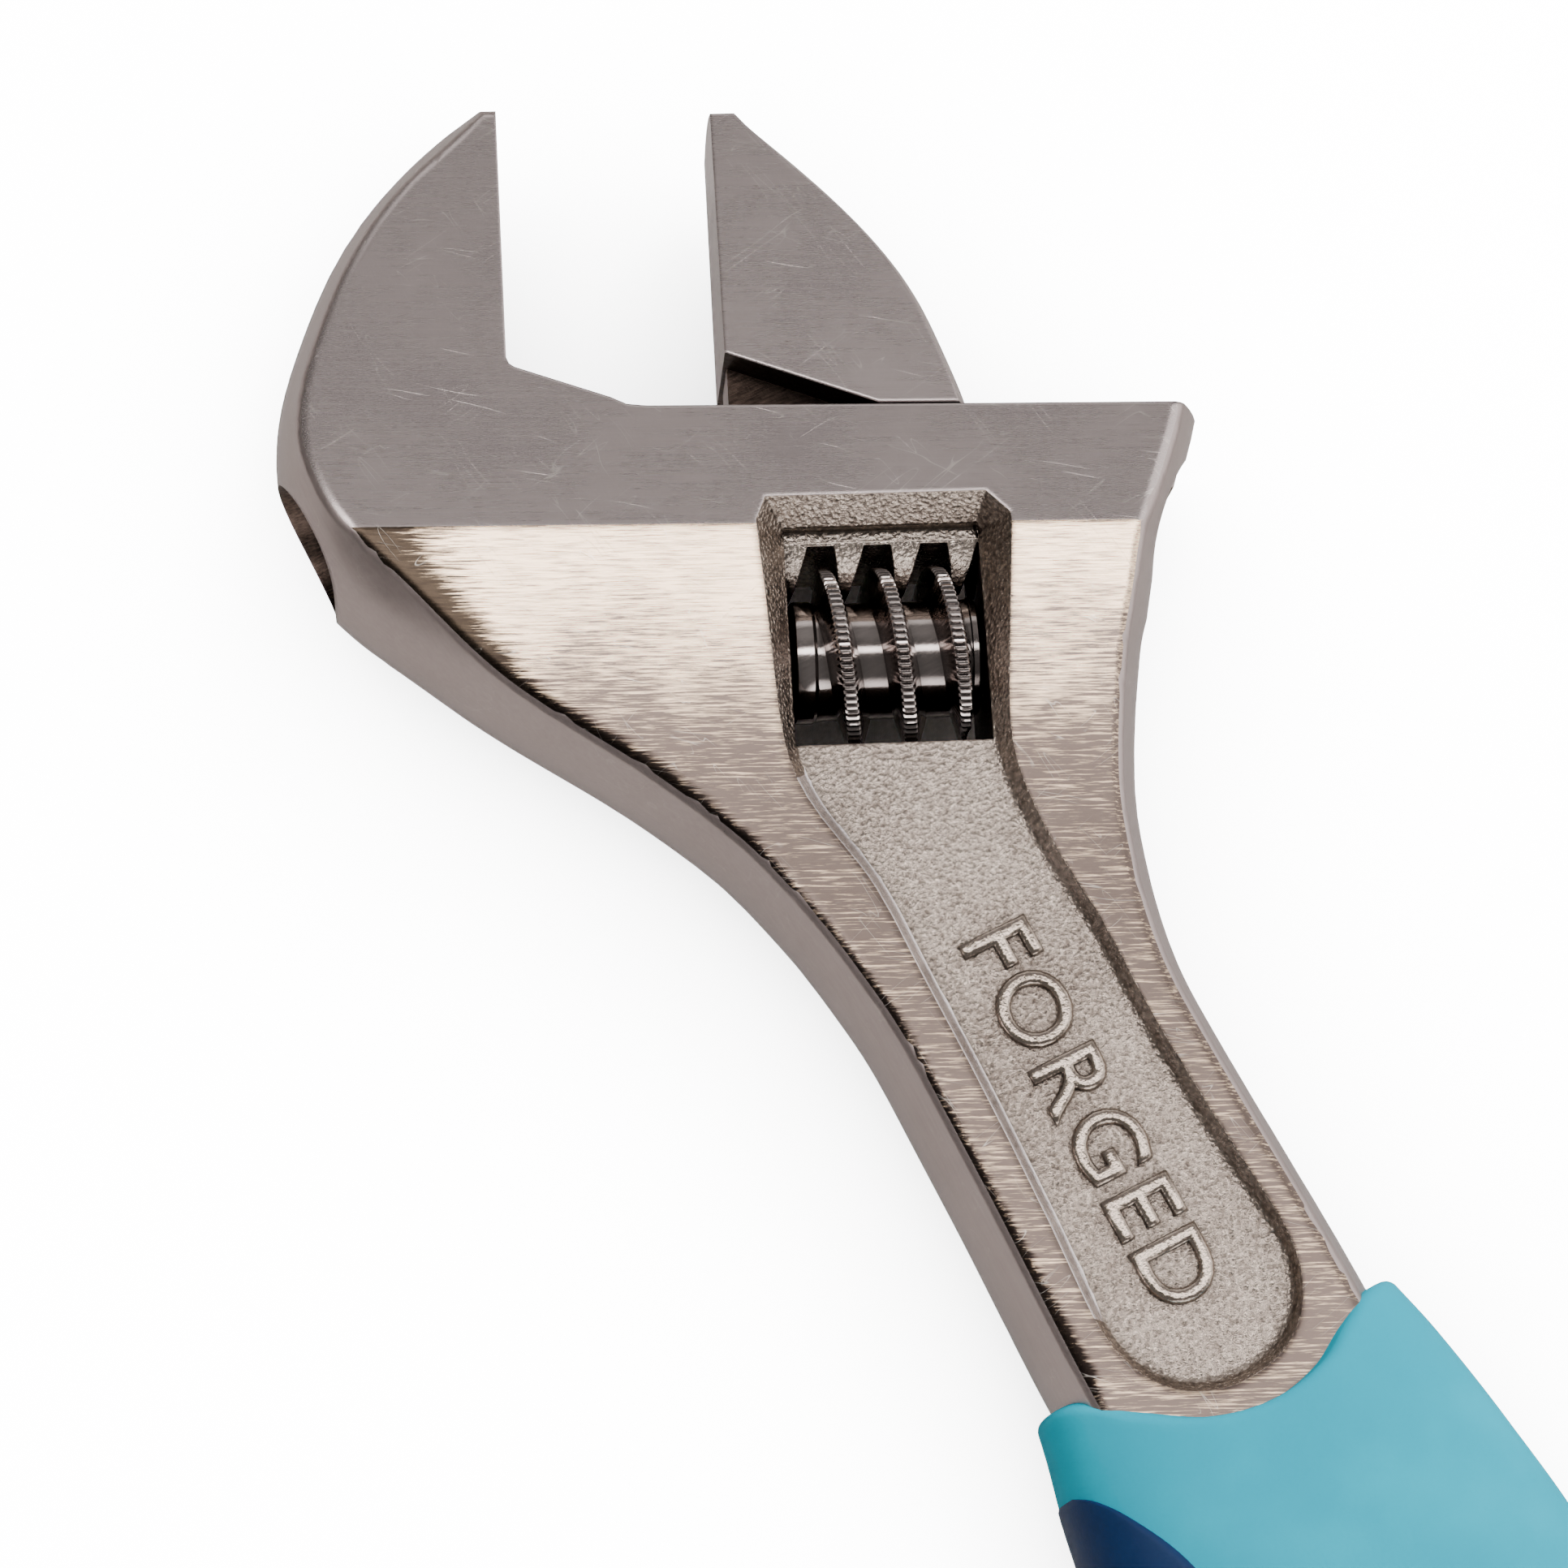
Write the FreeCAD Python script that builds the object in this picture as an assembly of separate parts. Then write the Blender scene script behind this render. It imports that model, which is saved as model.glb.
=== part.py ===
import FreeCAD, Part
import math
import os

# Adjustable wrench, in millimetres.
# Part frame: origin in the middle of the hanging hole, +Y up the handle to the head, +Z out of the front face.
# Head frame: X runs along the jaw slide, Y points to the jaw tips, and it is turned against the handle.

# Frames
JAW_ANGLE = 24.6
HEAD_X = 9.3
HEAD_Y = 210.0
TOP_TILT = 1.2

# Forging
HEAD_HALF = 8.0
TIP_HALF = 4.8
SHANK_HALF = 6.2
CREASE_Y = -9.9
SWEEP_END_Y = -38.0
TIP_Y = 27.4
CROWN = 2.05
EDGE_ROUND = 1.2
FIXED_FACE_X = -25.6
NOTCH_TOP_Y = 4.0
NOTCH_END_X = -16.6

# Pocket and worm window
POCKET_FLOOR = 5.0
POCKET_SLOPE = 0.75
POCKET_FILLET = 0.6
WINDOW_LEFT = -5.1
WINDOW_RIGHT = 9.85
WINDOW_TOP = -9.5
POCKET_TOP_SLOPE = 0.93
WINDOW_BOTTOM = -26.5

# Jaw slide
SLIDE_Y = -8.3
BORE_R = 5.35
SLIDE_R = 5.27
SLIDE_LEFT = -11.5
SLIDE_RIGHT = 20.5
SLOT_HALF = 2.95
WEB_HALF = 2.75
WEB_RIGHT = 9.2
RELIEF_TOP_Y = -9.2
RELIEF_LOW_Y = -10.35
RELIEF_Z = 4.0

# Movable jaw
MOVING_FACE_X = -8.8
MOVING_TIP_Y = 26.65
MOVING_TIP_HALF = 4.6
MOVING_BASE_HALF = 6.0
MOVING_CROWN = 1.4
UNDERSIDE_GAP = 0.6
HEEL_Y = 5.05

# Worm, its pin and its spring
LEAD = 4.35
WORM_Y = -18.4
WORM_LEFT = -4.95
WORM_RIGHT = 9.65
CREST_R = 7.15
CORE_R = 4.55
CREST_HALF = 0.5
FLANK_SLOPE = 0.288
CREST_AT_TOP_X = -2.31
LEFT_COLLAR = 2.1
RIGHT_COLLAR = 0.8
WORM_BORE_R = 1.68
PIN_R = 1.6
PLUG_R = 2.64
PLUG_HOLE_R = 2.66
PLUG_LEFT = 10.6
PIN_LEFT = -12.0
SPRING_MEAN_R = 2.3
SPRING_WIRE_R = 0.32
SPRING_BORE_R = 2.9
SPRING_DEPTH = 5.6
SPRING_TURNS = 4
RACK_CLEARANCE = 0.13
RACK_BACKLASH = 0.9
RACK_ROOT_GAP = 0.65

# Grip
HOLE_R = 4.75
TANG_HOLE_R = 6.6
PAD_DEPTH = 1.1


def vec(x, y, z=0.0):
    return FreeCAD.Vector(x, y, z)


def head_point(x, y):
    """Turn a head-frame point into a part-frame point."""
    c = math.cos(math.radians(JAW_ANGLE))
    s = math.sin(math.radians(JAW_ANGLE))
    return (HEAD_X + x * c + y * s, HEAD_Y - x * s + y * c)


def place_head(shape, tilt=0.0):
    """Move a solid drawn in the head frame into the part frame."""
    moved = shape.copy()
    moved.rotate(vec(0, 0), vec(0, 0, 1), -JAW_ANGLE - tilt)
    moved.translate(vec(HEAD_X, HEAD_Y))
    return moved


def prism(points, z_low, z_high):
    """Straight-sided block with a polygon plan."""
    corners = [vec(x, y, z_low) for x, y in points]
    wire = Part.makePolygon(corners + [corners[0]])
    return Part.Face(wire).extrude(vec(0, 0, z_high - z_low))


def box(low, high):
    size = [high[i] - low[i] for i in range(3)]
    return Part.makeBox(size[0], size[1], size[2], vec(*low))


def rod(radius, x_low, x_high, y):
    """Cylinder along the head frame's X axis."""
    return Part.makeCylinder(radius, x_high - x_low, vec(x_low, y, 0), vec(1, 0, 0))


def spline(points, z):
    curve = Part.BSplineCurve()
    curve.interpolate([vec(x, y, z) for x, y in points])
    return curve.toShape()


def line(a, b, z):
    return Part.makeLine(vec(a[0], a[1], z), vec(b[0], b[1], z))


def shift_inward(points, amounts, side):
    """Move each outline point along its own normal; side is +1 when inward is to the left of travel."""
    moved = []
    last = len(points) - 1
    for i in range(len(points)):
        before = points[max(i - 1, 0)]
        after = points[min(i + 1, last)]
        dx = after[0] - before[0]
        dy = after[1] - before[1]
        run = math.hypot(dx, dy)
        nx = -dy / run * side
        ny = dx / run * side
        moved.append((points[i][0] + nx * amounts[i], points[i][1] + ny * amounts[i]))
    return moved


def soften(shape, edges, radii):
    """Round a set of edges with the largest radius that gives a valid solid."""
    for radius in radii:
        try:
            rounded = shape.makeFillet(radius, edges)
            if rounded.isValid() and rounded.Volume > 0:
                return rounded
        except Exception:
            continue
    print("edges left sharp:", len(edges))
    return shape


def half_thickness(x, y):
    """Half thickness of the forging at a part-frame point, measured down from the slide's crease."""
    turn = math.radians(JAW_ANGLE + TOP_TILT)
    depth = (x - HEAD_X) * math.sin(turn) + (y - HEAD_Y) * math.cos(turn)
    if depth > CREASE_Y:
        return HEAD_HALF - (HEAD_HALF - TIP_HALF) * (depth - CREASE_Y) / (TIP_Y - CREASE_Y)
    if depth < SWEEP_END_Y:
        return SHANK_HALF
    part = (depth - SWEEP_END_Y) / (CREASE_Y - SWEEP_END_Y)
    return SHANK_HALF + (HEAD_HALF - SHANK_HALF) * part ** 1.6


LEFT_HEAD = [
    (-27.3, TIP_Y), (-30.2, 25.4), (-33.5, 22.2), (-36.8, 18.1), (-39.5, 13.3), (-41.6, 8.0),
    (-43.0, 3.3), (-43.5, -1.0), (-43.0, -5.8), (-41.2, -11.0), (-37.7, -15.2), (-33.4, -18.7),
    (-28.9, -22.2), (-23.8, -25.7), (-18.8, -29.1), (-14.4, -32.5), (-10.6, -35.9), (-7.75, -39.2),
    (-5.2, -42.5), (-3.1, -45.7),
]
LEFT_SHANK = [
    (-12.1, 166.0), (-12.0, 159.0), (-12.1, 150.0), (-12.4, 139.0), (-12.3, 130.0), (-11.2, 115.0),
    (-9.8, 85.0), (-9.5, 45.0), (-9.3, 10.0), (-7.6, -2.0),
]
RIGHT_SHANK = [
    (7.6, -2.0), (9.3, 10.0), (9.5, 45.0), (9.8, 85.0), (11.2, 115.0), (12.4, 130.0),
    (12.4, 139.0), (12.1, 150.0), (12.0, 156.0), (12.1, 160.0), (12.5, 163.0), (13.2, 166.2),
    (14.1, 169.3), (15.2, 172.4), (16.6, 175.3), (18.2, 178.1),
]
RIGHT_HEAD = [
    (21.8, -22.0), (22.4, -18.7), (23.2, -15.5), (23.9, -12.3), (25.2, -8.9), (26.5, -5.6),
    (27.7, -2.2), (28.6, 1.4),
]


# The left side is ground to a fuller crown round the mouth of the slide bore: point number and crown
LEFT_CROWN = {7: 2.2, 8: 2.9, 9: 3.7, 10: 3.8, 11: 3.1, 12: 2.4}


def blank_wire(z):
    """Outline of the forging at one height; the sides are crowned, so it shrinks away from the middle."""
    left = [head_point(x, y) for x, y in LEFT_HEAD] + LEFT_SHANK
    right = RIGHT_SHANK + [head_point(x, y) for x, y in RIGHT_HEAD]
    crown_left = []
    for i, (x, y) in enumerate(left):
        crown_left.append(LEFT_CROWN.get(i, CROWN) * (z / half_thickness(x, y)) ** 2)
    crown_right = [CROWN * (z / half_thickness(x, y)) ** 2 for x, y in right]
    left = shift_inward(left, crown_left, 1)
    right = shift_inward(right, crown_right, 1)
    tip_drop = 1.1 * (z / TIP_HALF) ** 2
    left[0] = head_point(-27.3 + 0.6 * tip_drop, TIP_Y - tip_drop)
    corner = head_point(33.0, TIP_Y - tip_drop)
    edges = [
        spline(left, z),
        line(left[-1], right[0], z),
        spline(right, z),
        line(right[-1], corner, z),
        line(corner, left[0], z),
    ]
    return Part.Wire(edges)


def side_profile():
    """Long block that gives the head its crease, the sweep below it and the flat shank faces."""
    slope = (HEAD_HALF - TIP_HALF) / (TIP_Y - CREASE_Y)
    top_y = TIP_Y + 15.0
    low_y = -240.0
    left_x = -70.0
    curves = []
    for sign in (1, -1):
        top = vec(left_x, top_y, sign * (HEAD_HALF - slope * (top_y - CREASE_Y)))
        crease = vec(left_x, CREASE_Y, sign * HEAD_HALF)
        sweep_end = vec(left_x, SWEEP_END_Y, sign * SHANK_HALF)
        bottom = vec(left_x, low_y, sign * SHANK_HALF)
        sweep = Part.BSplineCurve()
        middle = [vec(left_x, CREASE_Y - 8.0, sign * 7.17), vec(left_x, CREASE_Y - 17.5, sign * 6.47)]
        sweep.interpolate([crease] + middle + [sweep_end],
                          InitialTangent=vec(0, -1, -0.11 * sign), FinalTangent=vec(0, -1, 0))
        curves.append([Part.makeLine(top, crease), sweep.toShape(), Part.makeLine(sweep_end, bottom)])
    upper = curves[0]
    lower = curves[1]
    ends = [
        Part.makeLine(upper[0].Vertexes[0].Point, lower[0].Vertexes[0].Point),
        Part.makeLine(vec(left_x, low_y, SHANK_HALF), vec(left_x, low_y, -SHANK_HALF)),
    ]
    wire = Part.Wire(Part.__sortEdges__(upper + lower + ends))
    block = Part.Face(wire).extrude(vec(220, 0, 0))
    return place_head(block, TOP_TILT)


def make_blank():
    """Crowned outline cut to the side profile, with its face edges rounded over."""
    heights = [k * 2.75 for k in range(-3, 4)]
    body = Part.makeLoft([blank_wire(z) for z in heights], True, False)
    body = body.common(side_profile())
    if body.ShapeType == "Compound":
        body = body.Solids[0]
    return body


def rim_edges(body):
    """Edges where the faces meet the crowned sides, from the jaw's heel down to the grip."""
    chosen = []
    for edge in body.Edges:
        if edge.Length < 3.0:
            continue
        low, high = edge.ParameterRange
        spots = [edge.valueAt(low + (high - low) * f) for f in (0.25, 0.5, 0.75)]
        flat = all(abs(abs(p.z) - half_thickness(p.x, p.y)) < 0.25 for p in spots)
        straight = edge.Curve.TypeId == "Part::GeomLine"
        if flat and not straight:
            chosen.append(edge)
    return chosen


def opening_cutter():
    """Everything above the head's top edge and in front of the fixed jaw's face."""
    slope_y = -math.tan(math.radians(TOP_TILT))
    face_x = FIXED_FACE_X
    end_x = NOTCH_END_X
    right_x = 60.0
    outline = [
        (face_x, 45.0), (face_x, NOTCH_TOP_Y + 0.7), (face_x + 0.2, NOTCH_TOP_Y + 0.2),
        (face_x + 0.6, NOTCH_TOP_Y - 0.1), (end_x - 1.2, 0.5 + end_x * slope_y + 0.28),
        (end_x, 0.06 + end_x * slope_y + 0.1), (end_x + 1.6, (end_x + 1.6) * slope_y),
        (right_x, right_x * slope_y), (right_x, 45.0),
    ]
    return place_head(prism(outline, -20.0, 20.0))


POCKET_PATH = [
    ("head", WINDOW_LEFT, -9.8), ("head", -5.1, -15.0), ("head", -5.15, -20.0), ("head", -5.1, -24.5),
    ("head", -4.6, -28.2), ("head", -2.7, -32.2), ("head", 0.2, -36.4), ("shank", -5.6, 169.0),
    ("shank", -5.7, 160.8), ("shank", -6.0, 151.4), ("shank", -6.5, 143.0), ("shank", -6.6, 138.0),
    ("shank", -4.6, 133.8), ("shank", 0.4, 131.9), ("shank", 5.4, 133.8), ("shank", 7.4, 138.0),
    ("shank", 7.1, 143.8), ("shank", 6.6, 151.5), ("shank", 6.4, 159.9), ("shank", 6.5, 167.5),
    ("head", 14.2, -38.2), ("head", 11.6, -32.8), ("head", 10.1, -28.0), ("head", 9.8, -24.5),
    ("head", 9.85, -20.0), ("head", 9.85, -15.0), ("head", WINDOW_RIGHT, -9.8),
]


def pocket_wire(z, grow):
    points = []
    for frame, x, y in POCKET_PATH:
        points.append(head_point(x, y) if frame == "head" else (x, y))
    points = shift_inward(points, [grow] * len(points), -1)
    left_x = WINDOW_LEFT - grow
    right_x = WINDOW_RIGHT + grow
    top_y = WINDOW_TOP + grow * POCKET_TOP_SLOPE
    drop = 0.3 + 0.75 * grow
    points[0] = head_point(left_x, top_y - drop)
    points[-1] = head_point(right_x, top_y - drop)
    left_top = head_point(left_x + 0.2 + 0.22 * grow, top_y)
    right_top = head_point(right_x - 0.2 - 0.7 * grow, top_y)
    return Part.Wire([
        spline(points, z),
        line(points[-1], right_top, z),
        line(right_top, left_top, z),
        line(left_top, points[0], z),
    ])


def pocket_cutter(side):
    """Recess with sloped walls that runs from above the worm window down to the grip."""
    deep = 4.5
    low = pocket_wire(POCKET_FLOOR * side, 0.0)
    high = pocket_wire((POCKET_FLOOR + deep) * side, deep * POCKET_SLOPE)
    cutter = Part.makeLoft([low, high], True, True)
    floor_edges = [e for e in cutter.Edges if abs(e.BoundBox.ZMin - e.BoundBox.ZMax) < 0.01
                   and abs(e.BoundBox.ZMin - POCKET_FLOOR * side) < 0.01]
    return soften(cutter, floor_edges, (POCKET_FILLET, 0.4, 0.25))


def make_body():
    """The forging: fixed jaw, head, slide bore, worm window, pockets and tang, all one piece."""
    body = make_blank()
    body = soften(body, rim_edges(body), (EDGE_ROUND, 0.65, 0.5, 0.35))
    body = body.cut(opening_cutter())
    body = body.cut(pocket_cutter(1))
    body = body.cut(pocket_cutter(-1))
    window = box((WINDOW_LEFT, WINDOW_BOTTOM, -20), (WINDOW_RIGHT, WINDOW_TOP, 20))
    body = body.cut(place_head(window))
    body = body.cut(place_head(rod(BORE_R, -60, 60, SLIDE_Y)))
    slot = box((FIXED_FACE_X, SLIDE_Y, -SLOT_HALF), (60, 8, SLOT_HALF))
    body = body.cut(place_head(slot))
    body = body.cut(place_head(rod(PIN_R, PIN_LEFT, 0, WORM_Y)))
    body = body.cut(place_head(rod(PLUG_HOLE_R, WINDOW_RIGHT - 1, 60, WORM_Y)))
    body = body.cut(Part.makeCylinder(TANG_HOLE_R, 40, vec(0, 0, -20)))
    return max(body.Solids, key=lambda s: s.Volume)


MOVING_CURVE = [
    (-6.9, MOVING_TIP_Y), (-3.2, 23.6), (1.1, 19.1), (4.6, 14.7), (7.1, 10.4), (8.75, 6.1),
    (10.1, 1.9), (10.75, -0.9),
]


def moving_half(y):
    return MOVING_BASE_HALF + (MOVING_TIP_HALF - MOVING_BASE_HALF) * max(y, 0.0) / MOVING_TIP_Y


def moving_wire(z):
    crown = [MOVING_CROWN * (z / moving_half(y)) ** 2 for x, y in MOVING_CURVE]
    curve = shift_inward(MOVING_CURVE, crown, -1)
    tip_y = MOVING_TIP_Y - 0.9 * (z / MOVING_TIP_HALF) ** 2
    curve[0] = (MOVING_CURVE[0][0], tip_y)
    low = (MOVING_FACE_X - 1.0, MOVING_CURVE[-1][1])
    high = (MOVING_FACE_X - 1.0, tip_y)
    return Part.Wire([spline(curve, z), line(curve[-1], low, z), line(low, high, z), line(high, curve[0], z)])


def rack_gap(x_middle):
    """One slanted trapezoid space between rack teeth, which follows the thread across the slide."""
    root_y = WORM_Y + CREST_R + RACK_ROOT_GAP
    tip_y = SLIDE_Y - SLIDE_R - 0.4
    root_half = CREST_HALF + RACK_CLEARANCE - 0.05
    tip_half = CREST_HALF + (WORM_Y + CREST_R - tip_y) * FLANK_SLOPE + RACK_CLEARANCE
    lean = LEAD / (2 * math.pi * 6.0)
    wires = []
    for z in (-7.0, 7.0):
        x = x_middle + lean * z
        left_root = x - root_half - RACK_BACKLASH
        left_tip = x - tip_half - RACK_BACKLASH
        wires.append(Part.makePolygon([
            vec(left_root, root_y, z), vec(x + root_half, root_y, z),
            vec(x + tip_half, tip_y, z), vec(left_tip, tip_y, z), vec(left_root, root_y, z),
        ]))
    return Part.makeLoft(wires, True, True)


def make_jaw():
    """Movable jaw: the jaw above the head, its thin web and the round slide with the rack."""
    heights = [k * 2.1 for k in range(-3, 4)]
    jaw = Part.makeLoft([moving_wire(z) for z in heights], True, False)
    half_low = moving_half(0.0) + 0.001
    profile = Part.makePolygon([
        vec(-20, -3, half_low), vec(-20, 0, half_low), vec(-20, 30, moving_half(30.0)),
        vec(-20, 30, -moving_half(30.0)), vec(-20, 0, -half_low), vec(-20, -3, -half_low), vec(-20, -3, half_low),
    ])
    jaw = jaw.common(Part.Face(profile).extrude(vec(50, 0, 0)))
    slope_y = -math.tan(math.radians(TOP_TILT))
    heel_end = 2.8
    under = [
        (MOVING_FACE_X - 2, HEEL_Y + 0.83), (MOVING_FACE_X, HEEL_Y), (heel_end, UNDERSIDE_GAP + heel_end * slope_y),
        (20, UNDERSIDE_GAP + 20 * slope_y), (20, -10), (MOVING_FACE_X - 2, -10),
    ]
    jaw = jaw.cut(box((-30, -20, -20), (MOVING_FACE_X, 40, 20)))
    hidden_web = box((MOVING_FACE_X + 0.3, 0.2, -WEB_HALF), (20, HEEL_Y + 1, WEB_HALF)).common(jaw)
    jaw = jaw.cut(prism(under, -20.0, 20.0))
    web = box((MOVING_FACE_X + 0.3, SLIDE_Y, -WEB_HALF), (WEB_RIGHT, 0.4, WEB_HALF)).fuse(hidden_web)
    slide = rod(SLIDE_R, SLIDE_LEFT, SLIDE_RIGHT, SLIDE_Y)
    ends = [e for e in slide.Edges if e.Curve.TypeId == "Part::GeomCircle"]
    slide = soften(slide, ends, (0.5,))
    for z_low in (RELIEF_Z, -RELIEF_Z - 4.0):
        slide = slide.cut(box((SLIDE_LEFT - 1, RELIEF_LOW_Y, z_low), (SLIDE_RIGHT + 1, RELIEF_TOP_Y, z_low + 4.0)))
    jaw = jaw.fuse(web).fuse(slide).removeSplitter()
    first = CREST_AT_TOP_X - 0.05
    count_left = int((first - SLIDE_LEFT) / LEAD) + 1
    count_right = int((SLIDE_RIGHT - first) / LEAD) + 1
    for k in range(-count_left, count_right + 1):
        jaw = jaw.cut(rack_gap(first + k * LEAD))
    return place_head(max(jaw.Solids, key=lambda s: s.Volume))


def thread_ridge():
    """The worm's thread, swept along its helix with a crest at CREST_AT_TOP_X facing the rack."""
    turns = 5.0
    start_x = CREST_AT_TOP_X - LEAD / 4 - LEAD
    root_r = CORE_R - 0.4
    root_half = CREST_HALF + (CREST_R - root_r) * FLANK_SLOPE
    helix = Part.makeHelix(LEAD, LEAD * turns, root_r)
    profile = Part.makePolygon([
        vec(root_r, 0, -root_half), vec(CREST_R, 0, -CREST_HALF), vec(CREST_R, 0, CREST_HALF),
        vec(root_r, 0, root_half), vec(root_r, 0, -root_half),
    ])
    ridge = Part.Wire(helix).makePipeShell([profile], True, True)
    ridge = Part.Solid(ridge) if ridge.ShapeType != "Solid" else ridge
    ridge.rotate(vec(0, 0), vec(0, 1, 0), 90)
    ridge.translate(vec(start_x, 0, 0))
    return ridge


def make_worm():
    """Adjusting screw: helical thread between plain collars, through bore and a spring recess."""
    length = WORM_RIGHT - WORM_LEFT
    core = Part.makeCylinder(CORE_R, length, vec(WORM_LEFT, 0, 0), vec(1, 0, 0))
    ends = [e for e in core.Edges if e.Curve.TypeId == "Part::GeomCircle"]
    core = soften(core, ends, (0.4, 0.25))
    run_low = WORM_LEFT + LEFT_COLLAR
    run_high = WORM_RIGHT - RIGHT_COLLAR
    sleeve = Part.makeCylinder(CREST_R + 1, run_high - run_low, vec(run_low, 0, 0), vec(1, 0, 0))
    screw = core.fuse(thread_ridge().common(sleeve))
    screw = screw.cut(Part.makeCylinder(WORM_BORE_R, length + 4, vec(WORM_LEFT - 2, 0, 0), vec(1, 0, 0)))
    recess = Part.makeCylinder(SPRING_BORE_R, SPRING_DEPTH, vec(WORM_RIGHT - SPRING_DEPTH, 0, 0), vec(1, 0, 0))
    screw = screw.cut(recess)
    screw = max(screw.Solids, key=lambda s: s.Volume)
    screw.translate(vec(0, WORM_Y, 0))
    return place_head(screw)


def make_pin():
    """Axle of the worm: a plain pin with a slotted plug that closes its hole."""
    pin = rod(PIN_R, PIN_LEFT + 0.1, PLUG_LEFT + 0.5, WORM_Y)
    plug = rod(PLUG_R, PLUG_LEFT, 21.7, WORM_Y)
    ends = [e for e in plug.Edges if abs(e.BoundBox.XMin - 21.7) < 0.01]
    plug = soften(plug, ends, (0.3,))
    pin = pin.fuse(plug)
    slot = box((20.7, WORM_Y - 5, -0.45), (23, WORM_Y + 5, 0.45))
    return place_head(pin.cut(slot).Solids[0])


def make_spring():
    """Coil that presses the worm against the window's left wall."""
    length = SPRING_DEPTH - 0.1 - 2 * SPRING_WIRE_R
    pitch = length / SPRING_TURNS
    helix = Part.makeHelix(pitch, length, SPRING_MEAN_R)
    circle = Part.Wire(Part.makeCircle(SPRING_WIRE_R, vec(SPRING_MEAN_R, 0, 0), vec(0, 1, 0)))
    coil = Part.Wire(helix).makePipeShell([circle], True, True)
    coil = Part.Solid(coil) if coil.ShapeType != "Solid" else coil
    coil.rotate(vec(0, 0), vec(0, 1, 0), 90)
    coil.translate(vec(WORM_RIGHT - SPRING_DEPTH + 0.05 + SPRING_WIRE_R, WORM_Y, 0))
    return place_head(coil)


# Half width and half thickness of the grip at stations down the handle
GRIP_STATIONS = [
    (137.0, 13.5, 7.5), (133.0, 14.3, 7.8), (128.0, 15.5, 8.2), (120.0, 16.8, 8.8), (110.0, 17.9, 9.4),
    (96.0, 17.0, 9.6), (78.0, 15.9, 9.5), (58.0, 16.2, 9.7), (36.0, 16.6, 9.5), (18.0, 15.2, 8.9),
    (6.0, 13.2, 8.4), (-2.0, 10.9, 7.9), (-6.5, 8.0, 7.0), (-9.0, 4.2, 5.4),
]


def grip_ring(y, half_width, half_thickness_z, power=2.7):
    """Rounded-rectangle section across the handle."""
    points = []
    steps = 24
    for k in range(steps):
        angle = 2 * math.pi * k / steps
        c = math.cos(angle)
        s = math.sin(angle)
        x = half_width * math.copysign(abs(c) ** (2 / power), c)
        z = half_thickness_z * math.copysign(abs(s) ** (2 / power), s)
        points.append(vec(x, y, z))
    curve = Part.BSplineCurve()
    curve.interpolate(points, PeriodicFlag=True)
    return Part.Wire(curve.toShape())


def grip_form():
    rings = [grip_ring(y, w, t) for y, w, t in GRIP_STATIONS]
    return Part.makeLoft(rings, True, False)


SCOOP = [
    (-15.0, 135.8), (-11.8, 135.2), (-8.6, 132.6), (-4.2, 130.0), (0.8, 128.9), (5.6, 129.6),
    (8.8, 131.3), (11.6, 132.6), (15.0, 132.9),
]


def scoop_cutter():
    """Takes the grip back round the end of the pocket."""
    z_low = -20.0
    edges = [spline(SCOOP, z_low), line(SCOOP[-1], (20, 145), z_low), line((20, 145), (-20, 145), z_low),
             line((-20, 145), SCOOP[0], z_low)]
    return Part.Face(Part.Wire(edges)).extrude(vec(0, 0, 40))


PAD_SIDE = [
    (-8.6, 8.0), (-9.6, 40.0), (-9.2, 80.0), (-8.4, 104.0), (-9.0, 119.0), (-11.2, 125.8), (-15.2, 130.2),
]


def pad_cutter(side, top_shift):
    """Plan region of one side inlay."""
    points = [(x * -side, y + (top_shift if y > 100 else 0)) for x, y in PAD_SIDE]
    z_low = -20.0
    far = 24.0 * side
    edges = [spline(points, z_low), line(points[-1], (far, points[-1][1] + 1.0), z_low),
             line((far, points[-1][1] + 1.0), (far, 6.0), z_low), line((far, 6.0), points[0], z_low)]
    return Part.Face(Part.Wire(edges)).extrude(vec(0, 0, 40))


def make_grip(blank):
    """Moulded sleeve and its two side inlays, shaped round the tang."""
    form = grip_form().cut(scoop_cutter())
    rings = [grip_ring(y, w - PAD_DEPTH, t - PAD_DEPTH * 0.9) for y, w, t in GRIP_STATIONS]
    inner = Part.makeLoft(rings, True, False)
    skin = form.cut(inner)
    hanger = Part.makeCylinder(HOLE_R, 60, vec(0, 0, -30))
    tang = blank.cut(Part.makeCylinder(TANG_HOLE_R, 60, vec(0, 0, -30)))
    pads = {}
    for name, side, shift in (("left_grip_pad", -1, 0.0), ("right_grip_pad", 1, -24.0)):
        pad = skin.common(pad_cutter(side, shift)).cut(tang)
        pads[name] = max(pad.Solids, key=lambda s: s.Volume)
    sleeve = form.cut(tang).cut(hanger)
    for pad in pads.values():
        sleeve = sleeve.cut(pad)
    pads["grip_sleeve"] = max(sleeve.Solids, key=lambda s: s.Volume)
    return pads


def main():
    os.makedirs("parts", exist_ok=True)
    nodes = {
        "wrench_body": make_body(),
        "movable_jaw": make_jaw(),
        "adjusting_worm": make_worm(),
        "worm_pin": make_pin(),
        "worm_spring": make_spring(),
    }
    nodes.update(make_grip(make_blank()))
    for name, shape in nodes.items():
        shape.exportStep("parts/" + name + ".step")
        print(name, shape.ShapeType, shape.isValid(), round(shape.Volume, 1), shape.BoundBox)


main()
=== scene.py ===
"""Looks of the adjustable wrench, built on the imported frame.

The frame's own solids give the forging, the jaw, the pin and the spring their shape. The worm, the grip and
the raised mark are modelled here in more detail. Lengths inside the classes are millimetres in the part's
frame, and meshes are made in metres.
"""

from __future__ import annotations

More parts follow.
